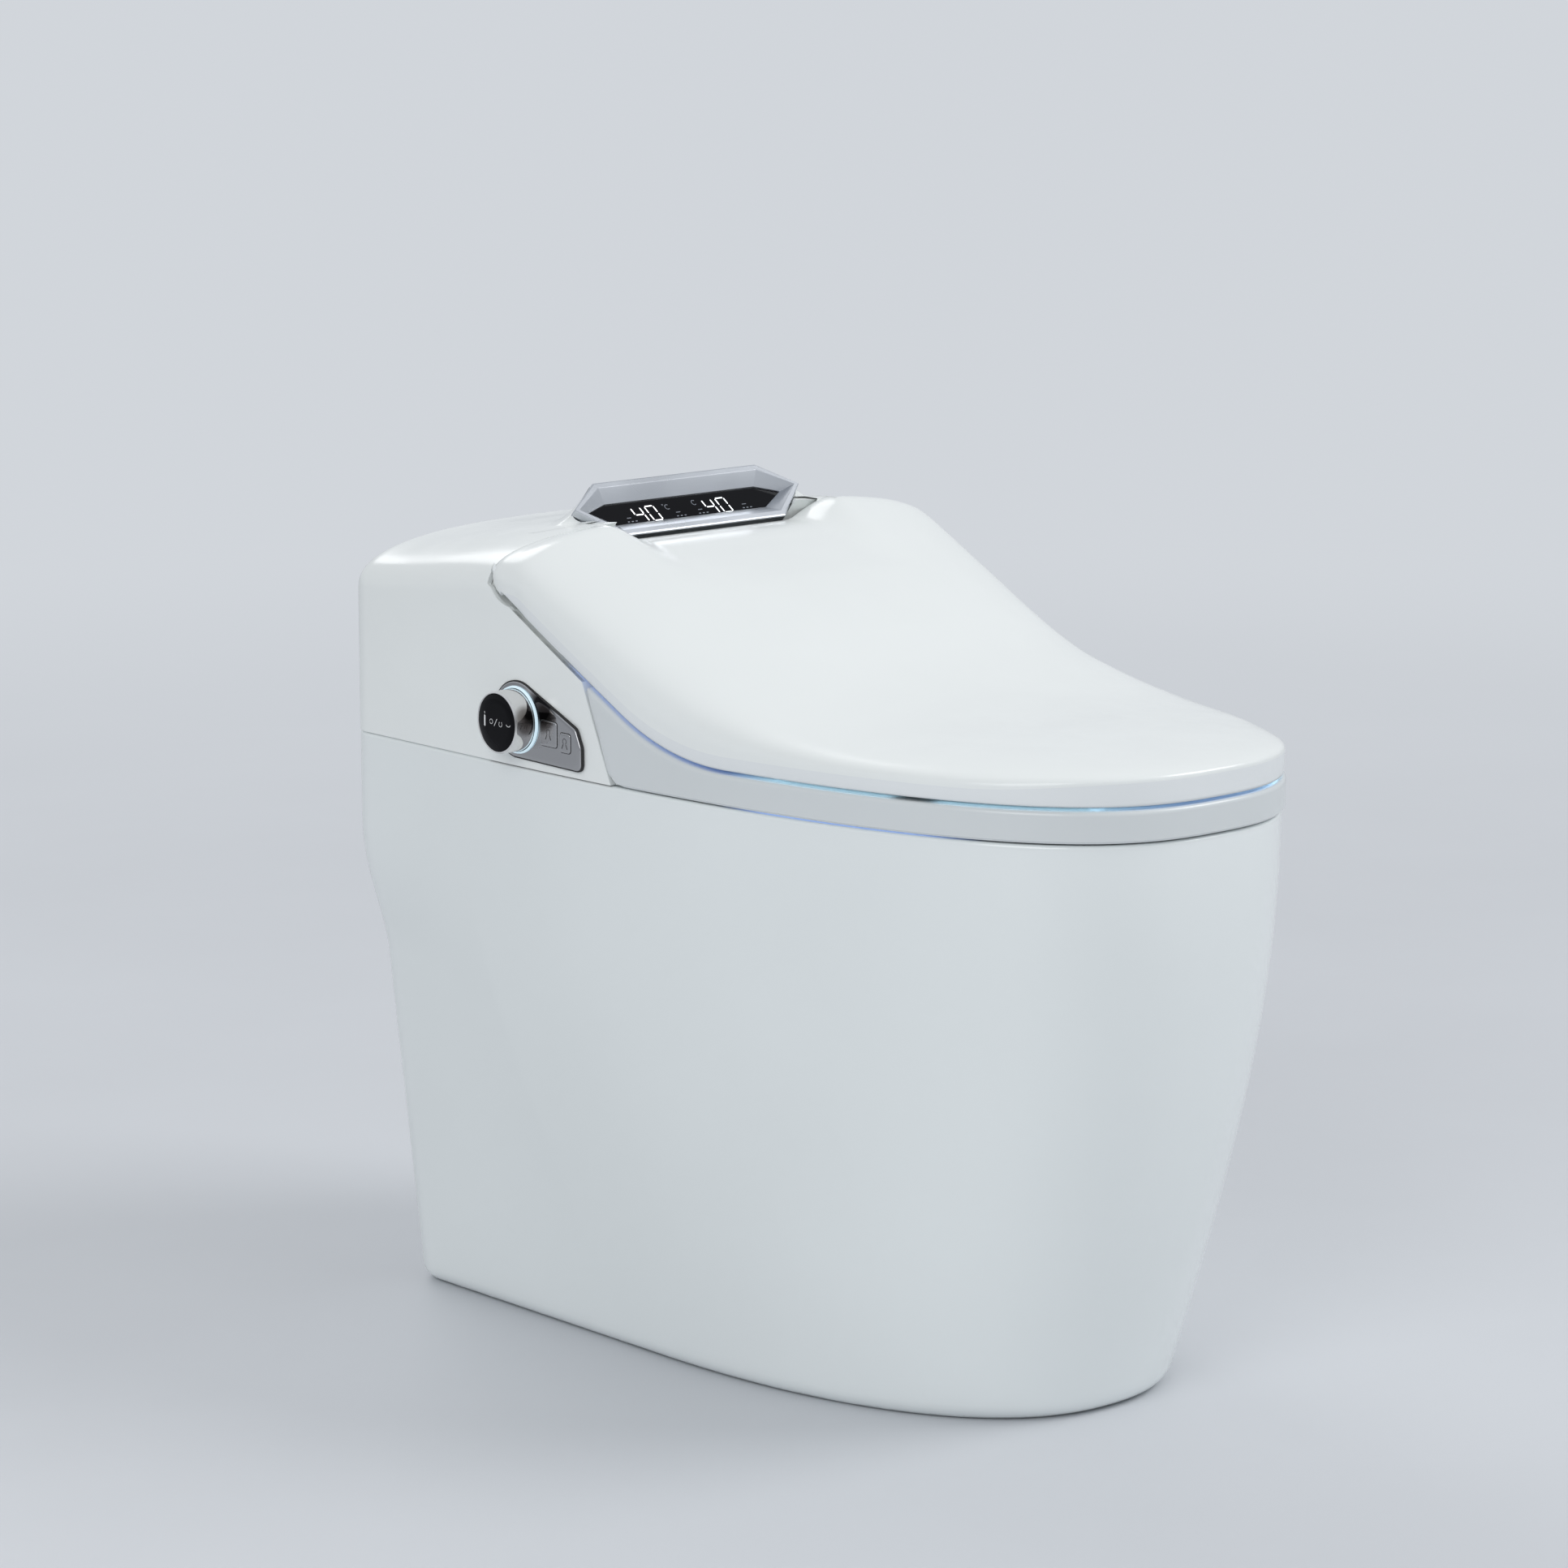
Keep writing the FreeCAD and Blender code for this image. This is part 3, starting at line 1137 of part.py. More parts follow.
def duct_mouth():
    """Place of the warm air outlet: front plane, bottom and top."""
    z1 = RIM_HEIGHT - 5.0
    return RIM_NOSE_Y + BOWL_RIM + BOWL_LENGTH + 8.0, z1 - DUCT_HEIGHT, z1


def duct_frame(half, y, z0):
    """Upright section of the duct, half a width from its middle, over its outer bottom z0."""
    inset = DUCT_WIDTH / 2 - half
    low, high = z0 + inset, z0 + DUCT_HEIGHT - inset
    return polygon([(DUCT_X - half, y, low), (DUCT_X + half, y, low), (DUCT_X + half, y, high), (DUCT_X - half, y, high)])


def dryer_duct():
    """Warm air duct from the fan to its mouth beside the wands."""
    y0, z0, _ = duct_mouth()
    half = DUCT_WIDTH / 2
    rear = FAN_Y - FAN_RADIUS - FAN_WALL - 6.0
    back_z = FLOOR_Z + DUCT_LIFT
    outer = Part.makeLoft([duct_frame(half, y0, z0), duct_frame(half, rear, back_z)], True, True)
    inside = half - DUCT_WALL
    bore = Part.makeLoft([duct_frame(inside, y0 - 1, z0), duct_frame(inside, rear + 1, back_z)], True, True)
    return outer.cut(bore)


def dryer_flap():
    """Flap over the warm air outlet, hinged along its top edge."""
    y0, z0, z1 = duct_mouth()
    half = DUCT_WIDTH / 2
    plate = box(DUCT_X - half, DUCT_X + half, y0 - FLAP_AHEAD, y0 - CLEAR, z0, z1 - 1.0)
    ay, az = y0 - FLAP_AHEAD, z1 + FLAP_LIFT
    barrel = rod_x(DUCT_X - half, DUCT_X + half, ay, az, FLAP_KNUCKLE)
    web = box(DUCT_X - half, DUCT_X + half, ay, y0 - 2 * CLEAR, z1 - 1.5, az)
    return plate.fuse(barrel).fuse(web).cut(rod_x(DUCT_X - 30, DUCT_X + 30, ay, az, FLAP_PIN + FIT))


def flap_pin():
    """Wire pin of the flap with its two ears on the duct."""
    y0, _, z1 = duct_mouth()
    half = DUCT_WIDTH / 2
    pin = rod_x(DUCT_X - half - 3.0, DUCT_X + half + 3.0, y0 - FLAP_AHEAD, z1 + FLAP_LIFT, FLAP_PIN)
    ears = []
    for x in (DUCT_X - half - 3.0, DUCT_X + half + 0.5):
        ear = box(x, x + 2.5, y0 - 4.0, y0 + 10.0, z1 - 4.0, z1 + 2.6)
        ears.append(ear)
    return ears[0].multiFuse([ears[1], pin]).cut(dryer_duct())


def fan_case():
    """Scroll case of the dryer fan."""
    z0 = FLOOR_Z
    z1 = z0 + DUCT_LIFT + DUCT_HEIGHT
    outer = rod((DUCT_X, FAN_Y, z0), (DUCT_X, FAN_Y, z1), FAN_RADIUS + FAN_WALL)
    wide = DUCT_WIDTH / 2 + FAN_WALL
    neck = box(DUCT_X - wide, DUCT_X + wide, FAN_Y - FAN_RADIUS - 8.0, FAN_Y, z0 + 1.0, z1)
    inner = rod((DUCT_X, FAN_Y, z0 + FAN_WALL), (DUCT_X, FAN_Y, z1 - FAN_WALL), FAN_RADIUS)
    half = DUCT_WIDTH / 2 - DUCT_WALL
    low = z0 + DUCT_LIFT + DUCT_WALL
    throat = box(DUCT_X - half, DUCT_X + half, FAN_Y - FAN_RADIUS - 9.0, FAN_Y, low, z1 - DUCT_WALL)
    inlet = rod((DUCT_X, FAN_Y, z1 - 5), (DUCT_X, FAN_Y, z1 + 1), FAN_RADIUS * 0.55)
    return outer.fuse(neck).cut(inner).cut(throat).cut(inlet)


def fan_impeller():
    """Drum of curved blades on a hub, turning about an upright shaft."""
    z0 = FLOOR_Z + FAN_WALL + 2.0
    radius = FAN_RADIUS - 4.0
    disc = rod((DUCT_X, FAN_Y, z0), (DUCT_X, FAN_Y, z0 + 1.5), radius)
    hub = rod((DUCT_X, FAN_Y, z0), (DUCT_X, FAN_Y, z0 + 10.0), 6.0)
    blades = []
    for i in range(FAN_BLADES):
        blade = box(radius - 9.0, radius - 0.5, -0.6, 0.6, z0 + 1.0, z0 + FAN_WIDTH)
        blade.rotate(V(radius - 0.5, 0, 0), V(0, 0, 1), 35.0)
        blade.rotate(V(0, 0, 0), V(0, 0, 1), 360.0 * i / FAN_BLADES)
        blade.translate(V(DUCT_X, FAN_Y, 0))
        blades.append(blade)
    wheel = disc.multiFuse([hub] + blades)
    limit = rod((DUCT_X, FAN_Y, z0), (DUCT_X, FAN_Y, z0 + FAN_WIDTH), radius)
    return wheel.common(limit).cut(rod((DUCT_X, FAN_Y, z0 - 1), (DUCT_X, FAN_Y, z0 + 20), FAN_SHAFT + FIT))


def fan_motor():
    """Motor shaft stub and can under the impeller hub."""
    z0 = FLOOR_Z + FAN_WALL
    can = rod((DUCT_X, FAN_Y, z0), (DUCT_X, FAN_Y, z0 + 1.6), 10.0)
    return can.fuse(rod((DUCT_X, FAN_Y, z0), (DUCT_X, FAN_Y, z0 + 11.0), FAN_SHAFT))


# ---------------------------------------------------------------- water and power
def water_heater():
    """Instant heater: round tank with two end caps and feet."""
    x, y, z = -44.0, 200.0, FLOOR_Z + HEATER_RADIUS + 4.0
    half = HEATER_LENGTH / 2
    tank = rod_x(x - half, x + half, y, z, HEATER_RADIUS)
    rims = [e for e in tank.Edges if e.Closed]
    tank = tank.makeFillet(6.0, rims)
    feet = [box(x + s * 30 - 6, x + s * 30 + 6, y - 18, y + 18, FLOOR_Z, z - 8) for s in (-1, 1)]
    spouts = [rod((x - 24, y, z), (x - 24, y, z + HEATER_RADIUS + 10), 4.5),
              rod((x + 24, y, z), (x + 24, y, z + HEATER_RADIUS + 10), 4.5)]
    return tank.multiFuse(feet + spouts)


def inlet_valve():
    """Brass inlet with a collar and its threaded end in the recess, and a coil on top."""
    z = RIM_HEIGHT + SERVICE_HEIGHT
    wall = BACK_Y - POCKET_DEPTH
    bore = INLET_RADIUS - INLET_WALL
    end = wall + INLET_COLLAR + INLET_LENGTH
    nipple = rod((INLET_X, wall - HOUSING_WALL - 8, z), (INLET_X, end, z), INLET_RADIUS)
    collar = rod((INLET_X, wall + 0.02, z), (INLET_X, wall + INLET_COLLAR, z), INLET_RADIUS + 3.5)
    front = wall - HOUSING_WALL - 38
    body = box(INLET_X - 15, INLET_X + 15, front, wall - HOUSING_WALL - 6, FLOOR_Z, z + 14)
    coil = rod((INLET_X, wall - 26, z + 14), (INLET_X, wall - 26, z + 38), 11.0)
    way = rod((INLET_X, wall - 24, z), (INLET_X, end + 1, z), bore)
    return nipple.multiFuse([collar, body, coil]).cut(way)


def cable_gland():
    """Rubber gland of the mains inlet, seated in the wall of its recess."""
    z = RIM_HEIGHT + SERVICE_HEIGHT
    wall = BACK_Y - POCKET_DEPTH
    body = rod((GLAND_X, wall - HOUSING_WALL, z), (GLAND_X, wall + 10, z), GLAND_RADIUS)
    flange = rod((GLAND_X, wall + 0.02, z), (GLAND_X, wall + 3, z), GLAND_RADIUS + 3)
    return body.fuse(flange).cut(rod((GLAND_X, wall - 9, z), (GLAND_X, wall + 12, z), GLAND_BORE))


def power_supply():
    """Closed power supply with cooling slots in its cover."""
    body = box(-172.0, -96.0, 165.0, 225.0, FLOOR_Z, FLOOR_Z + 38.0)
    z0, z1 = FLOOR_Z + 36.0, FLOOR_Z + 40.0
    slots = [box(x, x + 4.0, 175.0, 215.0, z0, z1) for x in range(-160, -106, 9)]
    return body.cut(Part.makeCompound(slots))


def control_board():
    """Main board on four posts over the power supply, with its largest parts."""
    z = FLOOR_Z + 72.0
    board = box(-150.0, -14.0, 166.0, 236.0, z, z + BOARD_THICK)
    top = z + BOARD_THICK
    chips = [box(-130.0, -112.0, 185.0, 203.0, top, z + 4.0),
             box(-80.0, -50.0, 180.0, 200.0, top, z + 12.0),
             rod((-35.0, 215.0, top), (-35.0, 215.0, z + 16.0), 8.0)]
    places = ((-145.0, 232.0), (-19.0, 232.0), (-92.0, 169.0))
    posts = [rod((x, y, FLOOR_Z), (x, y, z), 3.0) for x, y in places]
    return board.multiFuse(chips + posts)


def booster_pump():
    """Flush pump: round motor on a pump head, on two feet."""
    x, y = 20.0, 252.0
    z = FLOOR_Z + 26.0
    motor = rod_x(x - 30, x + 22, y, z, 20.0)
    head = rod_x(x + 22, x + 40, y, z, 23.0)
    feet = [box(x0, x0 + 10, y - 14, y + 14, FLOOR_Z, z - 12) for x0 in (x - 22, x + 26)]
    spout = rod((x + 31, y, z), (x + 31, y, z + 34), 7.0)
    return motor.multiFuse([head, spout] + feet)


def air_pump():
    """Small air pump for the washing jets, on the chassis."""
    body = box(112.0, 152.0, 178.0, 214.0, FLOOR_Z, FLOOR_Z + 30.0)
    head = rod((132.0, 196.0, FLOOR_Z + 29.0), (132.0, 196.0, FLOOR_Z + 40.0), 12.0)
    return body.fuse(head)


def flush_spout():
    """Elbow that sends the flush water round the bowl."""
    x = -62.0
    y0 = RIM_NOSE_Y + BOWL_RIM + BOWL_LENGTH + 6.0
    z = RIM_HEIGHT - 26.0
    run = rod((x, y0, z), (x, y0 + 60, z), 10.0)
    rise = rod((x, y0 + 52, z - 10.0), (x, y0 + 52, RIM_HEIGHT + 14.0), 10.0)
    foot = box(x - 8, x + 8, y0 + 20, y0 + 44, RIM_HEIGHT - WELL_DEPTH + 0.1, z)
    bore = rod((x, y0 - 1, z), (x, y0 + 52, z), 7.5)
    return run.multiFuse([rise, foot]).cut(bore)


def build():
    """Every sub-part by node name."""
    wand = WAND_SPACING / 2
    return {
        "ceramic_pan": ceramic_pan(),
        "outlet_seal": outlet_seal(),
        "chassis": chassis(),
        "deck_screws": deck_screws(),
        "rear_housing": rear_housing(),
        "pod_base": pod_base(),
        "display_bezel": display_bezel(),
        "display_glass": display_glass(),
        "display_board": display_board(),
        "lid_shell": lid_shell(),
        "lid_liner": lid_liner(),
        "lid_light_guide": lid_light_guide(),
        "lid_bumpers": lid_bumpers(),
        "lid_dampers": lid_dampers(),
        "lid_pins": lid_pins(),
        "seat_upper_shell": seat_upper_shell(),
        "seat_lower_shell": seat_lower_shell(),
        "seat_heater": seat_heater(),
        "seat_bumpers": seat_bumpers(),
        "seat_light_guide": seat_light_guide(),
        "seat_pins": seat_pins(),
        "side_plate": side_plate(),
        "knob_light_ring": knob_light_ring(),
        "knob_shell": knob_shell(),
        "knob_face": knob_face(),
        "knob_shaft": knob_shaft(),
        "knob_encoder": knob_encoder(),
        "switch_board": switch_board(),
        "button_rear_wash": side_button(0),
        "button_front_wash": side_button(1),
        "nozzle_cradle": nozzle_cradle(),
        "wand_rear_wash": nozzle_wand(-wand),
        "wand_front_wash": nozzle_wand(wand),
        "dryer_duct": dryer_duct(),
        "dryer_flap": dryer_flap(),
        "flap_pin": flap_pin(),
        "fan_case": fan_case(),
        "fan_impeller": fan_impeller(),
        "fan_motor": fan_motor(),
        "water_heater": water_heater(),
        "inlet_valve": inlet_valve(),
        "cable_gland": cable_gland(),
        "power_supply": power_supply(),
        "control_board": control_board(),
        "booster_pump": booster_pump(),
        "air_pump": air_pump(),
        "flush_spout": flush_spout(),
    }


def main():
    os.makedirs("parts", exist_ok=True)
    for name, shape in build().items():
        shape.exportStep("parts/" + name + ".step")
        print(name, len(shape.Solids), round(shape.Volume), shape.isValid())


main()
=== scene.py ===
"""Dressed look of a one-piece smart toilet, built round its packed CAD frame.

Shapes are worked out in millimetres with numpy and written in metres.
+Z is up, the nose points to -Y and the control knob is on the -X side.
"""
import json
import math
import bmesh
import bpy
import numpy as np
from mathutils import Matrix, Vector


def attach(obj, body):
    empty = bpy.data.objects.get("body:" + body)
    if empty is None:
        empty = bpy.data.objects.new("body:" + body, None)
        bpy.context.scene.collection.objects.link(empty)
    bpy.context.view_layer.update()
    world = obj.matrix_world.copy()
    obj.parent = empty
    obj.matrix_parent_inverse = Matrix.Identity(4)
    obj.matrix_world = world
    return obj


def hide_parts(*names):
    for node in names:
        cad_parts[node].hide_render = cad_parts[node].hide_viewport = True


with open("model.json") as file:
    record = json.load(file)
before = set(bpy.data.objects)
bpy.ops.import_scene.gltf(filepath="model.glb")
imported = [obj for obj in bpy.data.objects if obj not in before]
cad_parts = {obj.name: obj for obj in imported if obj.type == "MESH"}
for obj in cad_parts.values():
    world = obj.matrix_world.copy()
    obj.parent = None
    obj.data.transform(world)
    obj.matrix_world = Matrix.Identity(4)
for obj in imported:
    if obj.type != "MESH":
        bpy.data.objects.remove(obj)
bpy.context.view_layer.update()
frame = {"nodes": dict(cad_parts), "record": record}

bl_info = {
    "name": "Smart toilet dressing",
    "version": (1, 0, 0),
    "blender": (4, 5, 0),
    "location": "View3D > Sidebar > Toilet",
    "description": "Builds the finished surfaces, lights and stage of a smart toilet",
    "category": "Object",
}

MM = 0.001
MERGE_CAD = 1e-6
MERGE_NEW = 2e-6
CORNER_SHARE = 0.45
# Share of its radius that the painted reflection's dark core fills.
REFLECTION_CORE = 0.45
BAR_CUT = 0.45

# Ceramic. In a plan, NOSE is the front end, WIDE the place along Y behind which the sides run straight,
# HALF the half width there and POWER the exponent of the superellipse. The back climbs from its share at
# the floor, and a smooth step between STEP_LOW and STEP_HIGH takes it the rest of the way.
RIM_Z = 395.0
RIM_NOSE = -354.0
RIM_WIDE = 177.0
RIM_HALF = 188.5
RIM_POWER = 2.65
BASE_NOSE = -271.0
BASE_WIDE = 25.0
BASE_REAR = 275.0
BASE_HALF = 154.0
BASE_POWER = 2.28
BASE_ROUND = 12.0
BACK_Y = 300.0
BACK_AT_FLOOR = 0.07
BACK_CLIMB = 0.87
STEP_LOW = 240.0
STEP_HIGH = 335.0
REAR_CORNER = 25.0
LEAST_CORNER = 4.0

# Bowl at the rim and at the sump, and its pull towards the sump at shares of the depth.
BOWL_HALF = (125.0, 31.0)
BOWL_FRONT = (-306.0, -140.0)
BOWL_REAR = (8.0, -60.0)
BOWL_POWER = 2.3
BOWL_DEPTH = 285.0
BOWL_SPAN = (0.03, 0.86)
BOWL_STRAIGHT = 0.05
BOWL_PROUD = 0.3
BOWL_LOW_Z = 152.0
BOWL_STATIONS = np.array([
    (0.0, 0.0), (0.10, 0.015), (0.25, 0.08), (0.45, 0.27), (0.65, 0.55), (0.82, 0.83), (1.0, 1.0)])
BOWL_CURVE = np.polyfit(BOWL_STATIONS[:, 0], BOWL_STATIONS[:, 1], 4)

# Nozzle recess behind the bowl, and how near the skin's outlines a CAD face is left out.
WELL_HALF = 78.0
WELL_FRONT = -32.0
WELL_REAR = 158.0
WELL_FLOOR = 343.0
WELL_MARGIN = 2.0
WELL_SNAP = (3.2, 3.6)
SLICE = 5.0
SKIN_GAP = 6.0
BOWL_GAP = 5.0

# Seat: its opening is half width, front end and rear end.
SEAT_Z = 396.5
SEAT_PROUD = 2.5
SEAT_GAP = 2.5
SEAT_REAR = 15.5
SEAT_REAR_TOP = 452.0
SEAT_CORNER = 4.0
SEAT_FOOT = 1.5
SEAT_TUCK = 7.0
SEAT_TUCK_TALL = 9.0
ARM_GAP = 0.3
SEAT_HOLE = (113.0, -300.0, -18.0)
SEAT_HOLE_POWER = 2.2
SEAT_HOLE_FOOT = 2.0
DISH_REACH = 1.3
REAR_LEAN = math.radians(22.7)

# Lid: its lower edge sweeps up, its crown line bends and slopes up to a barrel round the hinge (y, z).
# Its rows meet on a spine near the nose, and PINCH draws the lower edge in behind the hinge.
LID_Z = 419.5
LID_HALF = 190.0
LID_PROUD = 1.5
LID_CREASE = 511.0
LID_CREASE_ROUND = 3.0
SWEEP_Y = -88.0
SWEEP_RADIUS = 190.0
SWEEP_SLOPE = math.radians(29.0)
CROWN_RISE = 26.5
CROWN_SLOPE = math.radians(24.2)
CROWN_BEND = 420.0
HINGE = (116.0, 527.0)
BARREL = 24.0
BARREL_BLEND = 4.0
BARREL_RUN = 10.0
REAR_ROUND = 22.3
PINCH = 0.014
PINCH_DEPTH = 12.0
PINCH_Y = 100.0
PINCH_RUN = 16.0
PINCH_X = 110.0
PINCH_FADE = 50.0
BAND_TALL = 9.0
BAND_NOSE = 6.0
BAND_NOSE_Y = -265.0
BAND_NOSE_RUN = 90.0
BAND_TUCK = 1.2
SPINE_FRONT = -165.0
SPINE_SOFT = 28.0
SPINE_REAR = 40.0
NO_CEILING = 999.0
LID_ROWS = 150
REAR_ROWS = 26
UNDER_ROWS = 14

# Notch and dip of the lid round the display.
NOTCH_HALF = 104.0
NOTCH_SHARE = 1 - NOTCH_HALF / LID_HALF
NOTCH_STEPS = 30
EDGE_CROWDING = 2.2
DIP_Z = 534.6
DIP_AHEAD = 0.0042
DIP_BEHIND = 0.0025
DIP_HALF = 71.0
DIP_FADE = 37.0
DIP_Y = 24.0
DIP_RUN = 66.0
DIP_ROUND = 11.0
DIP_LIFT = 1.6
SHEET_END = (134.6, 139.5)
SHEET_RUN = 30.0
SHEET_HALF = 72.0
SHEET_FADE = 30.0
SHEET_ROUND = 1.2

# Rear housing: trough under the lid's barrel, crease along its side, roof, and the display's collar.
# LIP turns the front of the roof down into the trough, and SKIN_LAP keeps two skins apart where they lap.
HOUSING_FRONT = 17.2
SKIN_FOOT = RIM_Z + 0.5
EDGE_RETURN = 3.0
SIDE_GAP = 4.0
TROUGH = 25.2
TROUGH_AHEAD = 16.0
WALL_GRID = (60, 70)
WALL_START_Z = 430.0
CREASE_Z = 490.0
CREASE_CLIMB = 15.0
ROOF_FRONT_Y = 140.0
ROOF_FRONT_Z = 548.0
ROOF_BACK_Z = 531.5
BACK_ROUND = 22.0
BACK_CENTRE_Z = 460.0
BACK_TURN = ((0.4, 0.12), (1.2, 0.2), (4.0, 0.2))
LIP_DROP = 3.0
LIP_Z = 470.0
LIP_FADE = 40.0
LIP_DRAW = 0.985
SKIN_LAP = 0.3
COLLAR_RIM = (0.3, -4.5, 3.0)
COLLAR_SINK = 3.0
COLLAR_SINK_Y = 150.0
COLLAR_SINK_RUN = 14.0
COLLAR_HALF = 100.0
COLLAR_TURN_Y = 160.0
COLLAR_LOW_Z = 520.0
COLLAR_FRONT_Y = 146.0
COLLAR_CENTRE = (0.0, 152.0)
COLLAR_SIDEWAYS = 0.35
COLLAR_CURVE = 2.4
COLLAR_TAPER = 1.3
COLLAR_REAR = 182.0
COLLAR_SPREAD = 34.0
COLLAR_SPREAD_Y = 140.0
COLLAR_SPREAD_RUN = 16.0
COLLAR_FORWARD = -0.05

# Display: its hexagon in its own plane, and the bezel's section as (outwards, over the plane).
POD_CENTRE = (154.4, 554.4)
POD_TILT = math.radians(44.1)
POD_SHOULDER = 73.3
POD_TIP = 102.0
POD_FRONT = 25.9
POD_REAR = 20.8
BEZEL_PROFILE = ((-3.0, -13.0), (0.0, -13.0), (0.0, -1.2), (-0.35, -0.35), (-1.2, 0.0), (-4.6, 0.0),
                 (-5.3, -0.35), (-14.0, -7.0), (-14.3, -8.2), (-11.5, -8.4))
DIGIT_PLACES = ((-45.0, -11.0), (18.6, -11.4))
DIGIT_WIDE = 7.8
DIGIT_TALL = 12.6
DIGIT_GAP = 4.4
DIGIT_SLANT = -0.18
DIGIT_LINE = 1.0
DIGIT_HEIGHT = -7.85
MARK_HEIGHT = -7.87

# Side controls in the (y, z) plane; the knob's sections are (x, radius).
KNOB_AXIS = (108.5, 427.3)
KNOB_X = -207.3
KNOB_CUP = ((-191.8, 19.0), (-191.8, 21.0), (KNOB_X + 1.2, 21.0), (KNOB_X + 0.35, 20.8), (KNOB_X, 20.2),
            (KNOB_X, 19.6), (KNOB_X + 0.5, 19.3), (KNOB_X + 1.2, 19.2))
KNOB_GLASS = ((KNOB_X + 1.0, 19.2), (KNOB_X + 0.35, 19.1), (KNOB_X + 0.1, 18.6), (KNOB_X + 0.05, 12.0),
              (KNOB_X + 0.05, 6.0), (KNOB_X + 0.05, 0.001))
KNOB_HALO = ((-190.2, 21.3), (-191.4, 21.3), (-191.9, 21.6), (-191.9, 22.2), (-191.4, 22.6), (-190.2, 22.8))
PLATE_X = -190.1
PLATE_ROUND = 25.5
PLATE_CORNER = 5.0
PLATE_THICK = 2.4
PLATE_BEVEL = 0.7
PLATE_MIDDLE = (KNOB_AXIS[0] - 20.0, KNOB_AXIS[1] - 6.0)
GASKET_PROUD = 0.9
PLATE_FRONT = ((47.5, 428.6), (42.2, 417.0), (42.0, 401.2))
KEY_X = PLATE_X - 0.8
KEY_BACK_X = -183.5
KEY_CORNER = 2.2
KEY_BEVEL = 0.5
KEYS = (("rear_wash_key", "rear_wash_button", "button_rear_wash", (17.0, 17.0), (74.5, 422.3)),
        ("front_wash_key", "front_wash_button", "button_front_wash", (11.0, 13.0), (57.5, 418.4)))

# Stage, in metres and watts: a lamp is its name, place, aim, size and power.
BACKDROP = (0.64, 0.67, 0.71)
FLOOR_HALF = 40.0
FADE_SPAN = (0.9, 3.6)
LAMPS = (("key", (2.6, -2.2, 3.4), (0.0, 0.0, 0.35), 2.2, 74.0),
         ("fill", (-3.2, -1.6, 2.2), (0.0, 0.0, 0.25), 2.4, 42.0),
         ("rim", (0.6, 2.6, 2.6), (0.0, 0.1, 0.5), 1.6, 16.0))
SKY = (0.93, 0.96, 1.0)
SKY_STRENGTH = 0.52
SENSOR = 36.0
CLIP_END = 60.0
CAMERA_PLACE = (-2.36092, -2.61646, 1.06697)
CAMERA_TURN = math.radians(-41.46616)
CAMERA_RISE = math.radians(11.11102)

# Patterns: most of a noise lies between these, and the relief of a fine texture is this deep in metres.
TONE_SPAN = (0.35, 0.65)
NOISE_SPAN = (0.3, 0.7)
FINE_RELIEF = 0.0001


# ---------------------------------------------------------------- settings a user would change
def length(label, text, value):
    """A distance in metres."""
    return bpy.props.FloatProperty(
        name=label, description=text, default=value, unit="LENGTH", subtype="DISTANCE")


def shade(label, text, value):
    """A linear colour."""
    return bpy.props.FloatVectorProperty(
        name=label, description=text, default=value, size=3, min=0.0, max=1.0, subtype="COLOR")


class CeramicSettings(bpy.types.PropertyGroup):
    """Pan glaze and edge sizes."""
    glaze: shade("Glaze", "Colour of the glazed china", (0.86, 0.90, 0.90))
    rim_round: length("Rim round", "Rounding of the outer rim edge", 0.0025)
    bowl_round: length("Bowl round", "Rounding where the bowl meets the rim", 0.006)


class SeatSettings(bpy.types.PropertyGroup):
    """Seat ring sizes and colour."""
    edge_round: length("Edge round", "Rounding of the outer top edge", 0.003)
    hole_round: length("Hole round", "Rounding of the inner top edge", 0.009)
    dish: length("Dish", "Fall of the seat towards the opening", 0.004)
    # Painted shade: the seat is darker than the lid's moulding, standing in for the shade under the lid's
    # overhang.
    colour: shade("Colour", "Colour of the seat moulding", (0.70, 0.735, 0.745))


class LidSettings(bpy.types.PropertyGroup):
    """Lid moulding sizes and colours."""
    gloss: shade("Moulding", "Colour of the gloss moulding", (0.88, 0.91, 0.90))
    # The side band's grey is partly a grey trim and partly painted shade of the lid's side, which faces away
    # from the lamps.
    side: shade("Side band", "Colour of the lid's side band", (0.83, 0.86, 0.87))
    wall: length("Wall", "Wall thickness of the moulding", 0.003)


class HousingSettings(bpy.types.PropertyGroup):
    """Rear housing skin."""
    proud: length("Skin", "Height of the finished skin over the frame", 0.00025)


class DisplaySettings(bpy.types.PropertyGroup):
    """Display pod."""
    silver: shade("Bezel", "Colour of the satin bezel", (0.55, 0.57, 0.60))
    digits: shade("Digits", "Colour of the lit digits", (0.90, 0.97, 1.0))
    number: bpy.props.IntProperty(
        name="Number", description="Two-digit number on the display", default=40, min=0, max=99)


class ControlSettings(bpy.types.PropertyGroup):
    """Side knob, plate and buttons."""
    chrome: shade("Chrome", "Colour of the bright metal", (0.82, 0.81, 0.80))
    ring: shade("Ring", "Colour of the knob's light ring", (0.70, 0.90, 1.0))


class StageSettings(bpy.types.PropertyGroup):
    """Floor, light line and camera."""
    floor: shade("Floor", "Colour of the floor", (0.66, 0.68, 0.71))
    light_line: shade("Light line", "Colour of the light under the lid", (0.22, 0.40, 1.0))
    lens: bpy.props.FloatProperty(
        name="Lens", description="Focal length of the camera", default=122.13, unit="CAMERA")


GROUPS = {
    "toilet_ceramic": CeramicSettings,
    "toilet_seat": SeatSettings,
    "toilet_lid": LidSettings,
    "toilet_housing": HousingSettings,
    "toilet_display": DisplaySettings,
    "toilet_controls": ControlSettings,
    "toilet_stage": StageSettings,
}


def settings(group):
    """Settings group of the scene."""
    return getattr(bpy.context.scene, group)


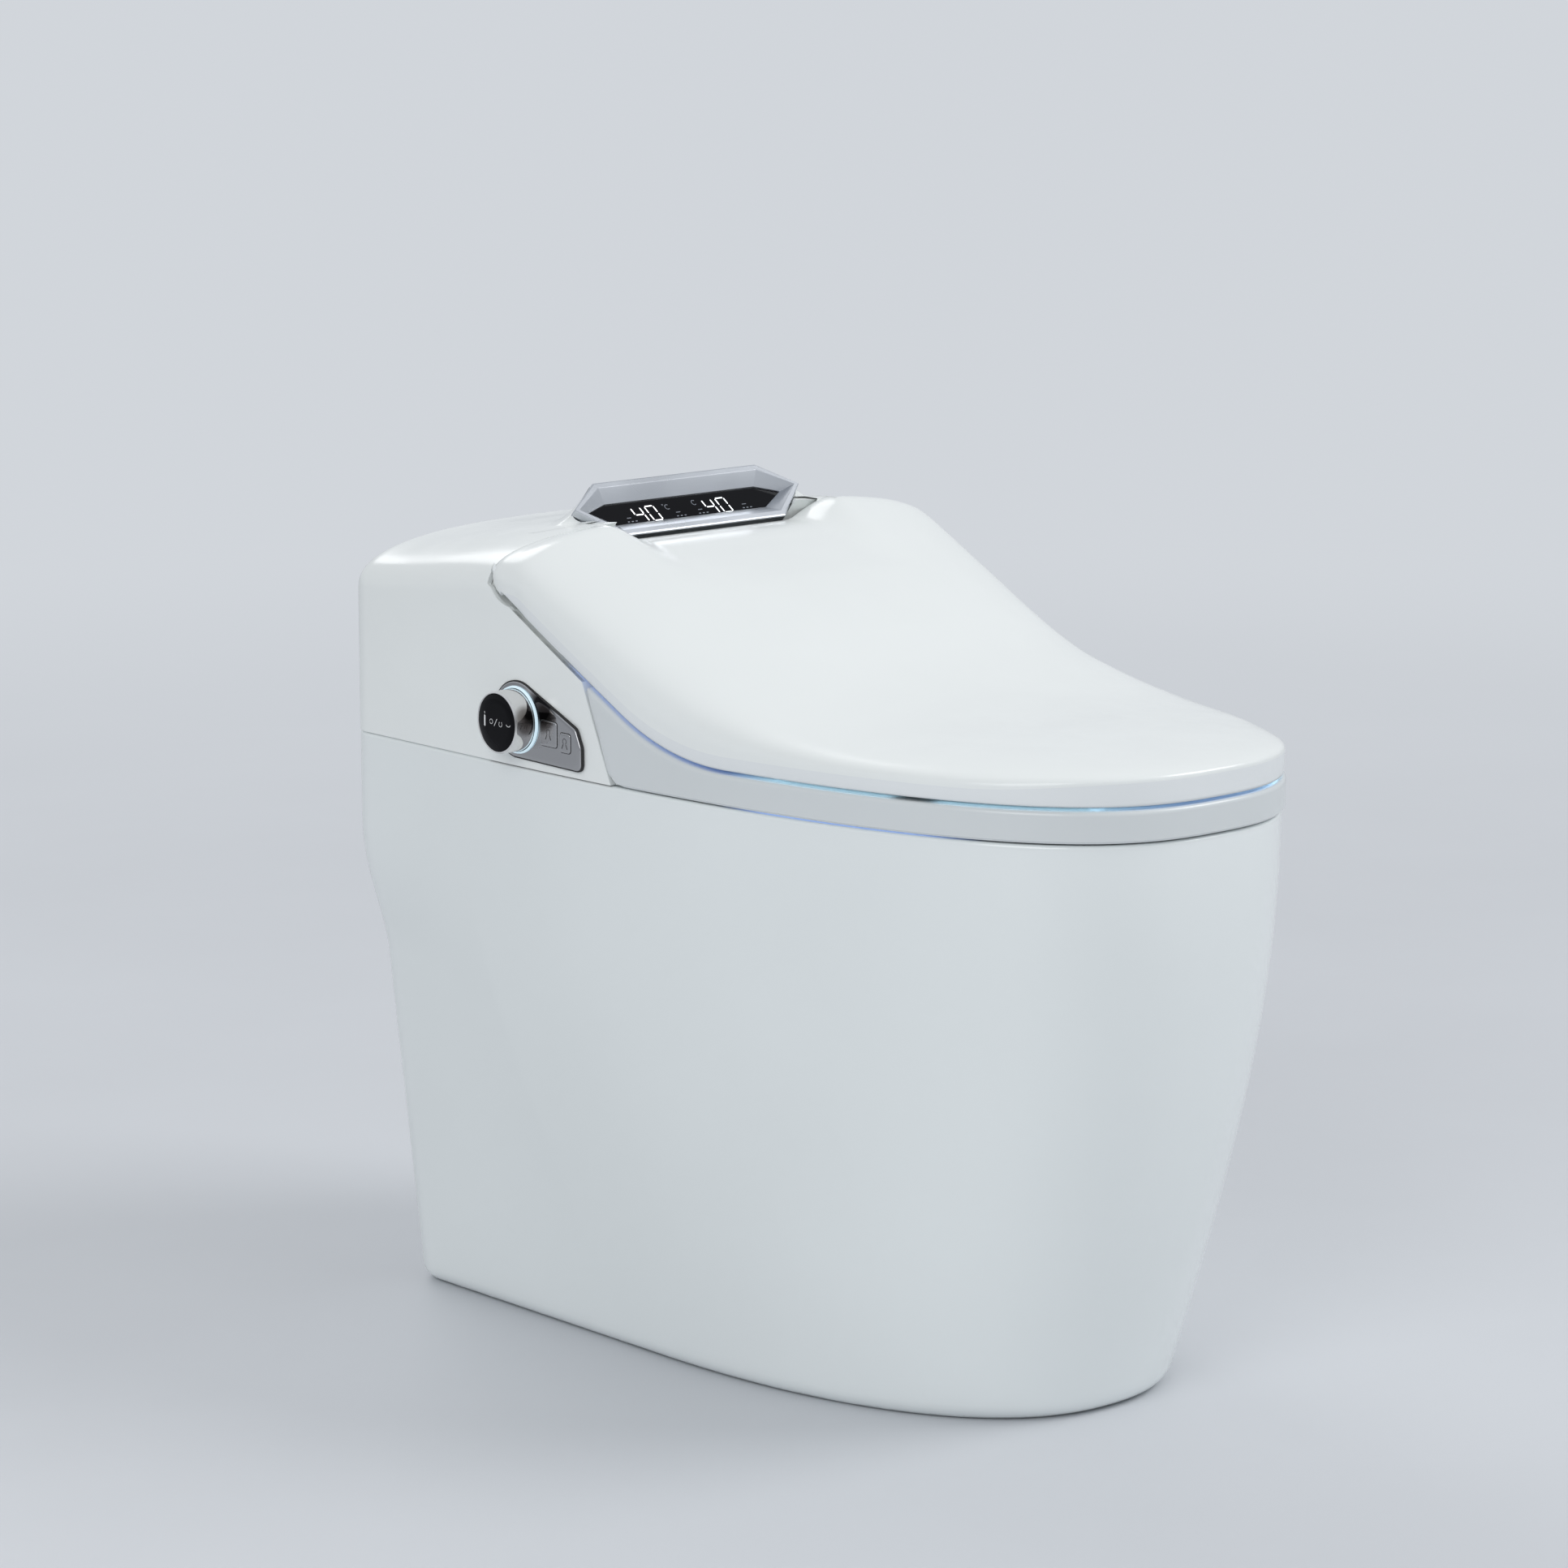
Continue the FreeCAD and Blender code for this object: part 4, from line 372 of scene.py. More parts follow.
# ---------------------------------------------------------------- numpy helpers
def smooth(t):
    """Smooth step: 3t^2 - 2t^3 on t held between 0 and 1."""
    t = np.clip(t, 0.0, 1.0)
    return t * t * (3 - 2 * t)


def lerp(a, b, t):
    """Straight blend from a to b."""
    return a + (b - a) * t


def chord(radius, t):
    """Height of a circle at a distance t from its centre: sqrt(r^2 - t^2), nothing past its edge."""
    return np.sqrt(np.maximum(radius ** 2 - t ** 2, 0.0))


def dome(t):
    """Cubed superellipse: (1 - t^3)^(1/3) on t held between 0 and 1."""
    return (1 - np.clip(t, 0.0, 1.0) ** 3) ** (1 / 3)


def quarter(radius, count):
    """Steps of a quarter round as pairs: r (1 - cos a) and r (1 - sin a) for a from 0 to 90 degrees."""
    turn = np.radians(np.linspace(0, 90, count))
    return [(radius * (1 - math.cos(a)), radius * (1 - math.sin(a))) for a in turn]


def bend(start, corner, end, steps):
    """Quadratic curve (1-t)^2 start + 2t(1-t) corner + t^2 end."""
    t = np.linspace(0.0, 1.0, steps)[:, None]
    return (1 - t) ** 2 * start + 2 * t * (1 - t) * corner + t * t * end


def resample(points, count):
    """count points at equal steps of arc length along a polyline."""
    step = np.linalg.norm(np.diff(points, axis=0), axis=1)
    s = np.concatenate([[0.0], np.cumsum(step)])
    t = np.linspace(0.0, s[-1], count)
    return np.stack([np.interp(t, s, points[:, k]) for k in range(points.shape[1])], axis=1)


def superellipse(half, reach, y_wide, power, count=1500):
    """Quarter superellipse from (half, y_wide) to (0, y_wide - reach).

    x = half cos^(2/p) and y = y_wide - reach sin^(2/p).
    """
    a = np.linspace(0.0, math.pi / 2, count)
    x = half * np.abs(np.cos(a)) ** (2 / power)
    y = y_wide - reach * np.abs(np.sin(a)) ** (2 / power)
    x[-1] = 0.0
    return np.stack([x, y], axis=1)


def half_plan(nose_y, y_wide, rear_y, half, half_rear, power, corner):
    """Right half of a plan outline from the back centre, round the corner and along the side to the nose."""
    a = np.linspace(math.pi / 2, 0.0, 24)
    arc = np.stack([half_rear - corner + corner * np.cos(a), rear_y - corner + corner * np.sin(a)], axis=1)
    return np.concatenate([[[0.0, rear_y]], arc, superellipse(half, y_wide - nose_y, y_wide, power)])


def closed_plan(right, count):
    """Closed outline: the right half at equal steps, then its mirror image back to the start."""
    right = resample(right, count)
    left = right[-2:0:-1] * [-1.0, 1.0]
    return np.concatenate([right, left])


def ring(outline, z):
    """Plan outline at a height, or at a height for each point."""
    return np.concatenate([outline, np.broadcast_to(np.reshape(z, (-1, 1)), (len(outline), 1))], axis=1)


def grid(rows, wrap=True, wrap_rows=False):
    """Vertices and quads of a grid of points; wrap joins the last column to the first."""
    rows = np.asarray(rows, dtype=float)
    r, c = rows.shape[:2]
    ids = np.arange(r * c).reshape(r, c)
    if wrap:
        ids = np.concatenate([ids, ids[:, :1]], axis=1)
    if wrap_rows:
        ids = np.concatenate([ids, ids[:1]], axis=0)
    quads = np.stack([ids[:-1, :-1], ids[:-1, 1:], ids[1:, 1:], ids[1:, :-1]], axis=-1).reshape(-1, 4)
    return rows.reshape(-1, 3), quads


def lathe(profile, axis_yz, count=96):
    """Profile of (x, radius) turned about a line along X."""
    profile = np.asarray(profile, dtype=float)
    a = np.linspace(0.0, 2 * math.pi, count, endpoint=False)
    x = np.repeat(profile[:, :1], count, axis=1)
    y = axis_yz[0] + profile[:, 1:] * np.cos(a)
    z = axis_yz[1] + profile[:, 1:] * np.sin(a)
    return grid(np.stack([x, y, z], axis=-1))


def rounded_polygon(points, radius, steps):
    """Closed polygon whose corners are quadratic curves between two cut points on their sides.

    A cut is radius / tan(half the corner's angle), and at most a share of the shorter side.
    """
    points = np.asarray(points, dtype=float)
    into, away = np.roll(points, 1, axis=0) - points, np.roll(points, -1, axis=0) - points
    before, after = np.linalg.norm(into, axis=1), np.linalg.norm(away, axis=1)
    into, away = into / before[:, None], away / after[:, None]
    half = np.arccos(np.clip(np.sum(into * away, axis=1), -1, 1)) / 2
    cut = np.minimum(radius / np.tan(half), CORNER_SHARE * np.minimum(before, after))[:, None]
    start, end = points + into * cut, points + away * cut
    return bend(start[:, None], points[:, None], end[:, None], steps).reshape(-1, 2)


def shrink(loop, distance):
    """Closed plan loop moved inwards: each point goes along the mean normal of its two sides."""
    before, after = np.roll(loop, 1, axis=0), np.roll(loop, -1, axis=0)
    tangent = after - before
    tangent = tangent / np.maximum(np.linalg.norm(tangent, axis=1, keepdims=True), 1e-9)
    normal = np.stack([-tangent[:, 1], tangent[:, 0]], axis=1)
    x, y = loop[:, 0], loop[:, 1]
    area = np.sum(x * np.roll(y, -1) - np.roll(x, -1) * y)
    return loop + normal * (distance if area > 0 else -distance)


# ---------------------------------------------------------------- pieces
def copied(node, keep=None):
    """Merged copy of a CAD node's faces, in millimetres, as one patch; keep picks faces by their centres."""
    work = bmesh.new()
    work.from_mesh(frame["nodes"][node].data)
    bmesh.ops.remove_doubles(work, verts=work.verts, dist=MERGE_CAD)
    if keep is not None:
        centres = np.array([f.calc_center_median()[:] for f in work.faces]) / MM
        gone = [f for f, k in zip(work.faces[:], keep(centres)) if not k]
        bmesh.ops.delete(work, geom=gone, context="FACES")
    work.verts.index_update()
    points = np.array([v.co[:] for v in work.verts]) / MM
    faces = np.array([[v.index for v in f.verts] for f in work.faces])
    work.free()
    return points, faces


def build_mesh(name, patches, sharp, recalc):
    """Mesh from patches of (points, faces, material index), with its doubles merged.

    Where recalc is set, Blender turns all faces outwards; otherwise the patches already point outwards.
    """
    mesh = bpy.data.meshes.new(name)
    points, faces, index, start = [], [], [], 0
    for verts, quads, material in patches:
        points.append(verts)
        faces.extend((quads + start).tolist())
        index.extend([material] * len(quads))
        start += len(verts)
    mesh.from_pydata((np.concatenate(points) * MM).tolist(), [], faces)
    mesh.polygons.foreach_set("material_index", index)
    work = bmesh.new()
    work.from_mesh(mesh)
    bmesh.ops.remove_doubles(work, verts=work.verts, dist=MERGE_NEW)
    bmesh.ops.dissolve_degenerate(work, edges=work.edges, dist=MERGE_CAD)
    if recalc:
        bmesh.ops.recalc_face_normals(work, faces=work.faces)
    work.to_mesh(mesh)
    work.free()
    mesh.polygons.foreach_set("use_smooth", [True] * len(mesh.polygons))
    mesh.set_sharp_from_angle(angle=math.radians(sharp))
    mesh.update()
    return mesh


def add_piece(name, patches, finishes, body, replaces=(), sharp=32.0, recalc=True):
    """New piece on a body, with its materials; the CAD nodes it stands for are hidden."""
    patches = [patch if len(patch) == 3 else (*patch, 0) for patch in patches]
    mesh = build_mesh(name, patches, sharp, recalc)
    for finish in finishes:
        mesh.materials.append(finish_set()[finish])
    piece = bpy.data.objects.new(name, mesh)
    bpy.context.scene.collection.objects.link(piece)
    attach(piece, body)
    if replaces:
        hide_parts(*replaces)
    return piece


def add_lines(name, patches, finish, body):
    """Thin flat lines, such as a sign or the painted shade of a gap, as one piece."""
    add_piece(name, patches, [finish], body, sharp=90.0, recalc=False)


def plate_of(bars, place, height):
    """Thin flat faces for bars, placed on a surface."""
    return [(place(outline, height), np.array([[0, 1, 2, 3], [0, 3, 4, 5]])) for outline in bars]


def dress(node, finish):
    """Gives every material slot of a CAD node one finished material."""
    piece = frame["nodes"][node]
    if not piece.material_slots:
        piece.data.materials.append(finish_set()[finish])
    for place in piece.material_slots:
        place.material = finish_set()[finish]


# ---------------------------------------------------------------- materials
def add_node(tree, kind, sockets=None, **options):
    """New shader node: its options are set first, then each socket gets a plain value or a link."""
    node = tree.nodes.new("ShaderNode" + kind)
    for key, value in options.items():
        setattr(node, key, value)
    for key, value in (sockets or {}).items():
        if isinstance(value, bpy.types.NodeSocket):
            tree.links.new(value, node.inputs[key])
        else:
            node.inputs[key].default_value = value
    return node


class Finish:
    """Small helper that lays out the nodes of one material."""

    def __init__(self, name):
        self.material = bpy.data.materials.get(name) or bpy.data.materials.new(name)
        self.material.use_nodes = True
        self.tree = self.material.node_tree
        self.tree.nodes.clear()
        self.shader = self.add("BsdfPrincipled")
        self.out = self.add("OutputMaterial", {"Surface": self.shader.outputs["BSDF"]})
        self.place = self.add("TexCoord").outputs["Object"]

    def add(self, kind, sockets=None, **options):
        """New node of this material."""
        return add_node(self.tree, kind, sockets, **options)

    def feed(self, socket, value):
        """Links a pattern to one of the shader's sockets."""
        self.tree.links.new(value, self.shader.inputs[socket])

    def set(self, **values):
        """Plain values on the shader's own sockets."""
        for key, value in values.items():
            self.shader.inputs[key.replace("_", " ")].default_value = value

    def sum_of(self, operation, a, b):
        """One step of arithmetic on two numbers or patterns."""
        return self.add("Math", {0: a, 1: b}, operation=operation).outputs["Value"]

    def noise(self, scale, detail=3.0, stretch=(1.0, 1.0, 1.0)):
        """Noise on object coordinates, stretched along the axes."""
        turn = self.add("Mapping", {"Scale": stretch, "Vector": self.place}).outputs["Vector"]
        return self.add("TexNoise", {"Scale": scale, "Detail": detail, "Vector": turn}).outputs["Fac"]

    def colours(self, factor, low, high, span=TONE_SPAN):
        """Base colour from a ramp between two colours, driven by a pattern."""
        ramp = self.add("ValToRGB", {"Fac": factor})
        for stop, position, colour in zip(ramp.color_ramp.elements, span, (low, high)):
            stop.position = position
            stop.color = (*colour, 1.0)
        self.feed("Base Color", ramp.outputs["Color"])
        return ramp

    def roughness(self, factor, low, high):
        """Roughness from a pattern mapped onto a range."""
        reach = self.add("MapRange", {"Value": factor, "From Min": NOISE_SPAN[0], "From Max": NOISE_SPAN[1],
                                      "To Min": low, "To Max": high})
        self.feed("Roughness", reach.outputs["Result"])

    def bump(self, height, strength, distance=FINE_RELIEF):
        """Surface relief from a pattern; distance in metres."""
        relief = self.add("Bump", {"Height": height, "Strength": strength, "Distance": distance})
        self.feed("Normal", relief.outputs["Normal"])


def tint(colour, factor):
    """Colour multiplied by a factor, held below 1."""
    return tuple(min(c * factor, 1.0) for c in colour)


def glazed_china(name, colour):
    """Fired glaze: glassy coat, faint cloudiness and an orange-peel relief."""
    f = Finish(name)
    f.colours(f.noise(3.5, 2.0), tint(colour, 0.975), tint(colour, 1.012))
    f.roughness(f.noise(14.0, 4.0), 0.09, 0.16)
    f.bump(f.noise(60.0, 2.0), 0.10, 0.0004)
    f.set(Coat_Weight=0.35, Coat_Roughness=0.05, IOR=1.52)
    return f.material


def gloss_moulding(name, colour, low=0.16, high=0.26):
    """Injection-moulded gloss plastic with fine mould texture and slight tone shifts."""
    f = Finish(name)
    f.colours(f.noise(5.0, 3.0), tint(colour, 0.98), tint(colour, 1.01))
    f.roughness(f.noise(25.0, 4.0), low, high)
    f.bump(f.noise(900.0, 2.0), 0.06)
    f.set(IOR=1.49)
    return f.material


def metal(name, colour, low, high, stretch=(1.0, 1.0, 1.0), scale=40.0, relief=0.05, detail=5.0):
    """Bare or plated metal: tone and roughness vary along its grain."""
    f = Finish(name)
    grain = f.noise(scale, detail, stretch)
    f.colours(grain, tint(colour, 0.95), tint(colour, 1.02))
    f.roughness(grain, low, high)
    f.bump(grain, relief)
    f.set(Metallic=1.0)
    return f.material


def mirror(name, colour, dark, reflection_spot, radius):
    """Polished metal with a painted reflection: its colour darkens round one point, where it would mirror
    something dark.
    """
    f = Finish(name)
    away = f.add("VectorMath", {0: f.place, 1: tuple(v * MM for v in reflection_spot)}, operation="DISTANCE")
    ramp = f.colours(away.outputs["Value"], dark, colour, (REFLECTION_CORE * radius * MM, radius * MM))
    ramp.color_ramp.interpolation = "EASE"
    f.roughness(f.noise(20.0, 2.0), 0.04, 0.08)
    f.set(Metallic=1.0)
    return f.material


def matt_plastic(name, colour, low=0.45, high=0.6):
    """Spark-textured moulded plastic."""
    f = Finish(name)
    f.colours(f.noise(12.0, 4.0), tint(colour, 0.9), tint(colour, 1.08))
    f.roughness(f.noise(40.0, 3.0), low, high)
    f.bump(f.noise(1400.0, 2.0), 0.25)
    return f.material


def polished_glass(name, colour):
    """Black glass: deep colour, a faint specular and faint smears."""
    f = Finish(name)
    f.colours(f.noise(8.0, 2.0), colour, tint(colour, 1.6))
    f.roughness(f.noise(30.0, 2.0), 0.05, 0.11)
    f.set(Specular_IOR_Level=0.08)
    return f.material


def lit(name, colour, strength, edge):
    """Lit face: even glow with a soft change of tone along it."""
    f = Finish(name)
    ramp = f.colours(f.noise(6.0, 1.0), colour, edge)
    f.feed("Emission Color", ramp.outputs["Color"])
    f.set(Emission_Strength=strength, Roughness=0.35)
    return f.material


def glow_line(name, colour, bright, strength, span, gap):
    """Light guide along the rim: a brighter stretch between two places along Y and a dark gap on -X.

    A stretch is the product of a rising and a falling smooth step. The glow is the base strength plus the
    stretch's extra, times one minus the gap.
    """
    f = Finish(name)
    axes = f.add("SeparateXYZ", {"Vector": f.place}).outputs

    def between(start, end, soft):
        """1 between two places along Y and 0 outside, with soft ends."""
        steps = []
        for near, far in ((start - soft, start + soft), (end + soft, end - soft)):
            limits = {"Value": axes["Y"], "From Min": near * MM, "From Max": far * MM}
            steps.append(f.add("MapRange", limits, interpolation_type="SMOOTHSTEP").outputs["Result"])
        return f.sum_of("MULTIPLY", *steps)

    stretch = between(*span, 26.0)
    dark = f.sum_of("MULTIPLY", between(*gap, 3.0), f.sum_of("LESS_THAN", axes["X"], 0.0))
    level = f.sum_of("ADD", f.sum_of("MULTIPLY", stretch, strength[1] - strength[0]), strength[0])
    tone = f.add("Mix", {"Factor": stretch, "A": (*colour, 1.0), "B": (*bright, 1.0)}, data_type="RGBA")
    f.feed("Emission Strength", f.sum_of("MULTIPLY", level, f.sum_of("SUBTRACT", 1.0, dark)))
    f.feed("Emission Color", tone.outputs["Result"])
    f.colours(f.noise(40.0, 1.0), (0.010, 0.011, 0.014), (0.016, 0.018, 0.024))
    f.set(Roughness=0.35)
    return f.material


def circuit(name, colour):
    """Solder mask with a fine pattern of tracks in relief."""
    f = Finish(name)
    brick = f.add("TexBrick", {
        "Vector": f.place, "Scale": 160.0, "Mortar Size": 0.06, "Color1": (*colour, 1.0),
        "Color2": (*tint(colour, 0.7), 1.0), "Mortar": (*tint(colour, 1.7), 1.0)})
    f.feed("Base Color", brick.outputs["Color"])
    f.bump(brick.outputs["Fac"], 0.3)
    f.set(Roughness=0.35)
    return f.material


def heating_film(name, colour):
    """Copper-coloured film with the wavy heating tracks showing."""
    f = Finish(name)
    wave = f.add("TexWave", {"Vector": f.place, "Scale": 60.0, "Distortion": 1.5})
    f.colours(wave.outputs["Fac"], colour, tint(colour, 1.5))
    f.set(Roughness=0.4)
    return f.material


FINISHES = {}


def finish_set():
    """All materials by name, made once: each is a kind of finish, its colour and that kind's values."""
    if FINISHES:
        return FINISHES
    lid, display, controls = settings("toilet_lid"), settings("toilet_display"), settings("toilet_controls")
    light, white = settings("toilet_stage").light_line, tuple(lid.gloss)
    kinds = {
        "glazed_china": (glazed_china, settings("toilet_ceramic").glaze, {}),
        "white_plastic": (gloss_moulding, white, {}),
        # Side band: partly a greyer trim, partly painted shade of the side turned from the lamps.
        "side_band": (gloss_moulding, lid.side, {}),
        "white_plastic_inner": (gloss_moulding, tint(white, 0.96), dict(low=0.24, high=0.36)),
        "satin_silver": (metal, display.silver, dict(
            low=0.26, high=0.32, scale=24.0, relief=0.0, detail=1.0)),
        "black_glass": (polished_glass, (0.004, 0.004, 0.005), {}),
        "bright_chrome": (metal, controls.chrome, dict(low=0.03, high=0.07, scale=20.0, relief=0.01)),
        # Painted reflection: knob_side and side_mirror darken round one point, where the knob's cup and the
        # plate and keys would mirror something dark; side_mirror's chrome is also darker overall as painted
        # reflection.
        "knob_side": (mirror, controls.chrome, dict(
            dark=(0.16, 0.14, 0.13), reflection_spot=(-198.0, 88.0, 430.0), radius=13.0)),
        "side_mirror": (mirror, (0.44, 0.44, 0.45), dict(
            dark=(0.012, 0.012, 0.014), reflection_spot=(PLATE_X, 82.0, 439.0), radius=17.0)),
        # The seat's darker white is painted shade from the lid's overhang.
        "seat_white": (gloss_moulding, settings("toilet_seat").colour, {}),
        "lid_glow": (glow_line, light, dict(
            bright=(0.50, 0.80, 1.0), strength=(1.0, 2.2), span=(-345.0, -100.0), gap=(-242.0, -214.0))),
        "seat_glow": (glow_line, light, dict(
            bright=(0.30, 0.48, 1.0), strength=(0.0, 1.2), span=(-250.0, -100.0), gap=(-400.0, -390.0))),
        "bright_steel": (metal, (0.72, 0.72, 0.73), dict(low=0.10, high=0.18, stretch=(1.0, 8.0, 8.0))),
        "zinc_steel": (metal, (0.60, 0.62, 0.64), dict(low=0.30, high=0.50, scale=90.0, relief=0.15)),
        "brushed_tank": (metal, (0.66, 0.67, 0.68), dict(
            low=0.22, high=0.36, stretch=(1.0, 30.0, 30.0), scale=30.0, relief=0.2)),
        "brass_fitting": (metal, (0.78, 0.60, 0.28), dict(low=0.15, high=0.30, stretch=(6.0, 1.0, 6.0))),
        "grey_frame": (matt_plastic, (0.50, 0.52, 0.55), {}),
        "black_plastic": (matt_plastic, (0.03, 0.03, 0.034), {}),
        "green_board": (circuit, (0.03, 0.20, 0.09), {}),
        "heater_film": (heating_film, (0.45, 0.18, 0.05), {}),
        "blue_light": (lit, light, dict(strength=1.3, edge=(0.35, 0.62, 1.0))),
        "pale_light": (lit, controls.ring, dict(strength=0.30, edge=(0.80, 0.94, 1.0))),
        "lit_digits": (lit, display.digits, dict(strength=1.2, edge=(1.0, 1.0, 1.0))),
        "faint_marks": (lit, (0.10, 0.12, 0.14), dict(strength=0.7, edge=(0.16, 0.17, 0.2))),
        "black_rubber": (matt_plastic, (0.02, 0.02, 0.02), dict(low=0.6, high=0.8)),
        "white_rubber": (matt_plastic, (0.78, 0.78, 0.78), dict(low=0.5, high=0.7)),
    }
    for name, (kind, colour, values) in kinds.items():
        FINISHES[name] = kind(name, tuple(colour), **values)
    return FINISHES


# ---------------------------------------------------------------- ceramic
def ceramic_plan(z, inset, count=260):
    """Closed outline of the ceramic at a height.

    Foot and rim sizes are blended by the sine of the height's share, the back by a stepped ramp.
    """
    front = math.sin(math.pi / 2 * z / RIM_Z)
    step = smooth((z - STEP_LOW) / (STEP_HIGH - STEP_LOW))
    back = lerp(BACK_AT_FLOOR + BACK_CLIMB * z / RIM_Z, 1.0, step)
    right = half_plan(
        nose_y=lerp(BASE_NOSE, RIM_NOSE, front) + inset,
        y_wide=lerp(BASE_WIDE, RIM_WIDE, front),
        rear_y=lerp(BASE_REAR, BACK_Y, back) - inset,
        half=lerp(BASE_HALF, RIM_HALF, front) - inset,
        half_rear=lerp(BASE_HALF, RIM_HALF, back) - inset,
        power=lerp(BASE_POWER, RIM_POWER, front),
        corner=max(REAR_CORNER - inset, LEAST_CORNER))
    return closed_plan(right, count)


def foot_inset(z):
    """Inset of the rounded foot at a height: r (1 - sin acos(1 - z / r)), which is nothing above it."""
    return BASE_ROUND * (1 - math.sin(math.acos(max(1 - z / BASE_ROUND, 0.0))))


def oval_plan(half, front, rear, power, count=260):
    """Closed superellipse from its rear end, both ends alike."""
    middle = (front + rear) / 2
    nose = superellipse(half, middle - front, middle, power)
    tail = superellipse(half, middle - rear, middle, power)[::-1]
    return closed_plan(np.concatenate([tail, nose[1:]]), count)


def bowl_plan(depth, grow=0.0):
    """Bowl outline at a share of its depth, drawn in to the sump by a quartic through the stations."""
    pull = float(np.clip(np.polyval(BOWL_CURVE, depth), 0.0, 1.0)) if depth > BOWL_STRAIGHT else 0.0
    return oval_plan(lerp(*BOWL_HALF, pull) + grow, lerp(*BOWL_FRONT, pull) - grow,
                     lerp(*BOWL_REAR, pull) + grow, BOWL_POWER)


def in_well(centres):
    """Faces over the nozzle recess behind the bowl."""
    x, y, z = centres.T
    return (np.abs(x) < WELL_HALF) & (y > WELL_FRONT) & (y < WELL_REAR) & (z > WELL_FLOOR)


def snap_to_well(points):
    """Moves points near the sides and the rear of the nozzle recess onto them."""
    out = points.copy()
    x, y = np.abs(points[:, 0]), points[:, 1]
    beside = (y > WELL_FRONT + WELL_MARGIN) & (y < WELL_REAR + 2 * WELL_MARGIN)
    near = beside & (np.abs(x - WELL_HALF) < WELL_SNAP[0])
    out[near, 0] = np.sign(points[near, 0]) * WELL_HALF
    near = (np.abs(y - WELL_REAR) < WELL_SNAP[1]) & (x < WELL_HALF + WELL_MARGIN)
    out[near, 1] = WELL_REAR
    return out


def ceramic_patches(rim_round, bowl_round):
    """Pan as grids of outlines: foot round, skirt, rim round, rim face and bowl, over the CAD's inside."""
    rows = [ring(ceramic_plan(rise, inset), rise) for rise, inset in quarter(BASE_ROUND, 7)]
    for z in np.linspace(BASE_ROUND, RIM_Z - rim_round, 72)[1:]:
        rows.append(ring(ceramic_plan(z, 0.0), z))
    for inset, drop in quarter(rim_round, 6)[1:]:
        rows.append(ring(ceramic_plan(RIM_Z, inset), RIM_Z - drop))
    patches = [grid(rows)]
    outer, inner = ceramic_plan(RIM_Z, rim_round), bowl_plan(0.0, bowl_round)
    face = [ring(lerp(outer, inner, t), RIM_Z) for t in np.linspace(0, 1, 30)]
    bowl = [ring(bowl_plan(0.0, grow), RIM_Z - drop) for drop, grow in quarter(bowl_round, 7)]
    for depth in np.linspace(*BOWL_SPAN, 34):
        bowl.append(ring(bowl_plan(depth, BOWL_PROUD), RIM_Z - BOWL_DEPTH * depth))
    for part in (face, bowl):
        points, quads = grid(part)
        points = snap_to_well(points)
        patches.append((points, quads[~in_well(points[quads].mean(axis=1))]))
    patches.append(copied("ceramic_pan", ceramic_inside))
    return patches


def gap_to(centres, loop):
    """Distance in plan from each centre to the nearest point of a closed outline."""
    return np.min(np.linalg.norm(centres[:, None, :2] - loop[None], axis=2), axis=1)


def ceramic_inside(centres):
    """Faces of the CAD pan that the new skin doesn't cover: hollow, trapway, sump, recess and outlet.

    Height by height, a face stays where it is further from the skin's and the bowl's outlines than a gap.
    """
    keep = centres[:, 2] < RIM_Z - 0.2
    heights = np.clip(centres[:, 2], 0.0, RIM_Z)
    for z in np.arange(0.0, RIM_Z + 1.0, SLICE):
        near = np.abs(heights - z) <= SLICE / 2
        if not near.any():
            continue
        there = centres[near]
        keep[near] &= gap_to(there, ceramic_plan(z, foot_inset(z), 400)) > SKIN_GAP
        if z > BOWL_LOW_Z:
            bowl = bowl_plan((RIM_Z - z) / BOWL_DEPTH)
            well = (np.abs(there[:, 0]) < WELL_HALF + WELL_MARGIN) & (there[:, 1] > WELL_FRONT - WELL_MARGIN)
            keep[near] &= (gap_to(there, bowl) > BOWL_GAP) | (well & (z > WELL_FLOOR - 3.0))
    return keep


# ---------------------------------------------------------------- side profiles
def edge_height(y, lift):
    """Lower edge of the lid moved out by lift: flat, then an arc, then a straight rise."""
    radius = SWEEP_RADIUS - lift
    t = np.asarray(y, dtype=float) - SWEEP_Y
    run = radius * math.sin(SWEEP_SLOPE)
    arc = radius - chord(radius, np.clip(t, 0.0, run))
    return LID_Z + lift + arc + np.maximum(t - run, 0.0) * math.tan(SWEEP_SLOPE)


def crown_height(y):
    """Crown line of the lid: flat, a bend, a straight slope, then the round over the hinge."""
    y = np.asarray(y, dtype=float)
    flat = LID_Z + CROWN_RISE
    top_y = HINGE[0] - BARREL * math.sin(CROWN_SLOPE)
    top_z = HINGE[1] + BARREL * math.cos(CROWN_SLOPE)
    bend_y = top_y - (top_z - flat) / math.tan(CROWN_SLOPE)
    reach = CROWN_BEND * math.tan(CROWN_SLOPE / 2)
    start, end = bend_y - reach, bend_y + reach * math.cos(CROWN_SLOPE)
    curve = flat + CROWN_BEND - chord(CROWN_BEND, np.clip(y - start, 0.0, end - start))
    slope = top_z - (top_y - y) * math.tan(CROWN_SLOPE)
    barrel = HINGE[1] + chord(BARREL, y - HINGE[0])
    return np.where(y < end, curve, np.where(y < top_y, slope, barrel))


# ---------------------------------------------------------------- seat
def seat_rear_y(z):
    """Leaning rear edge of the seat, drawn in round its bottom corner by a square law."""
    lean = SEAT_REAR + (np.asarray(z) - SEAT_Z) * math.tan(REAR_LEAN)
    return lean - SEAT_TUCK * np.clip(1 - (np.asarray(z) - SEAT_Z) / SEAT_TUCK_TALL, 0.0, 1.0) ** 2


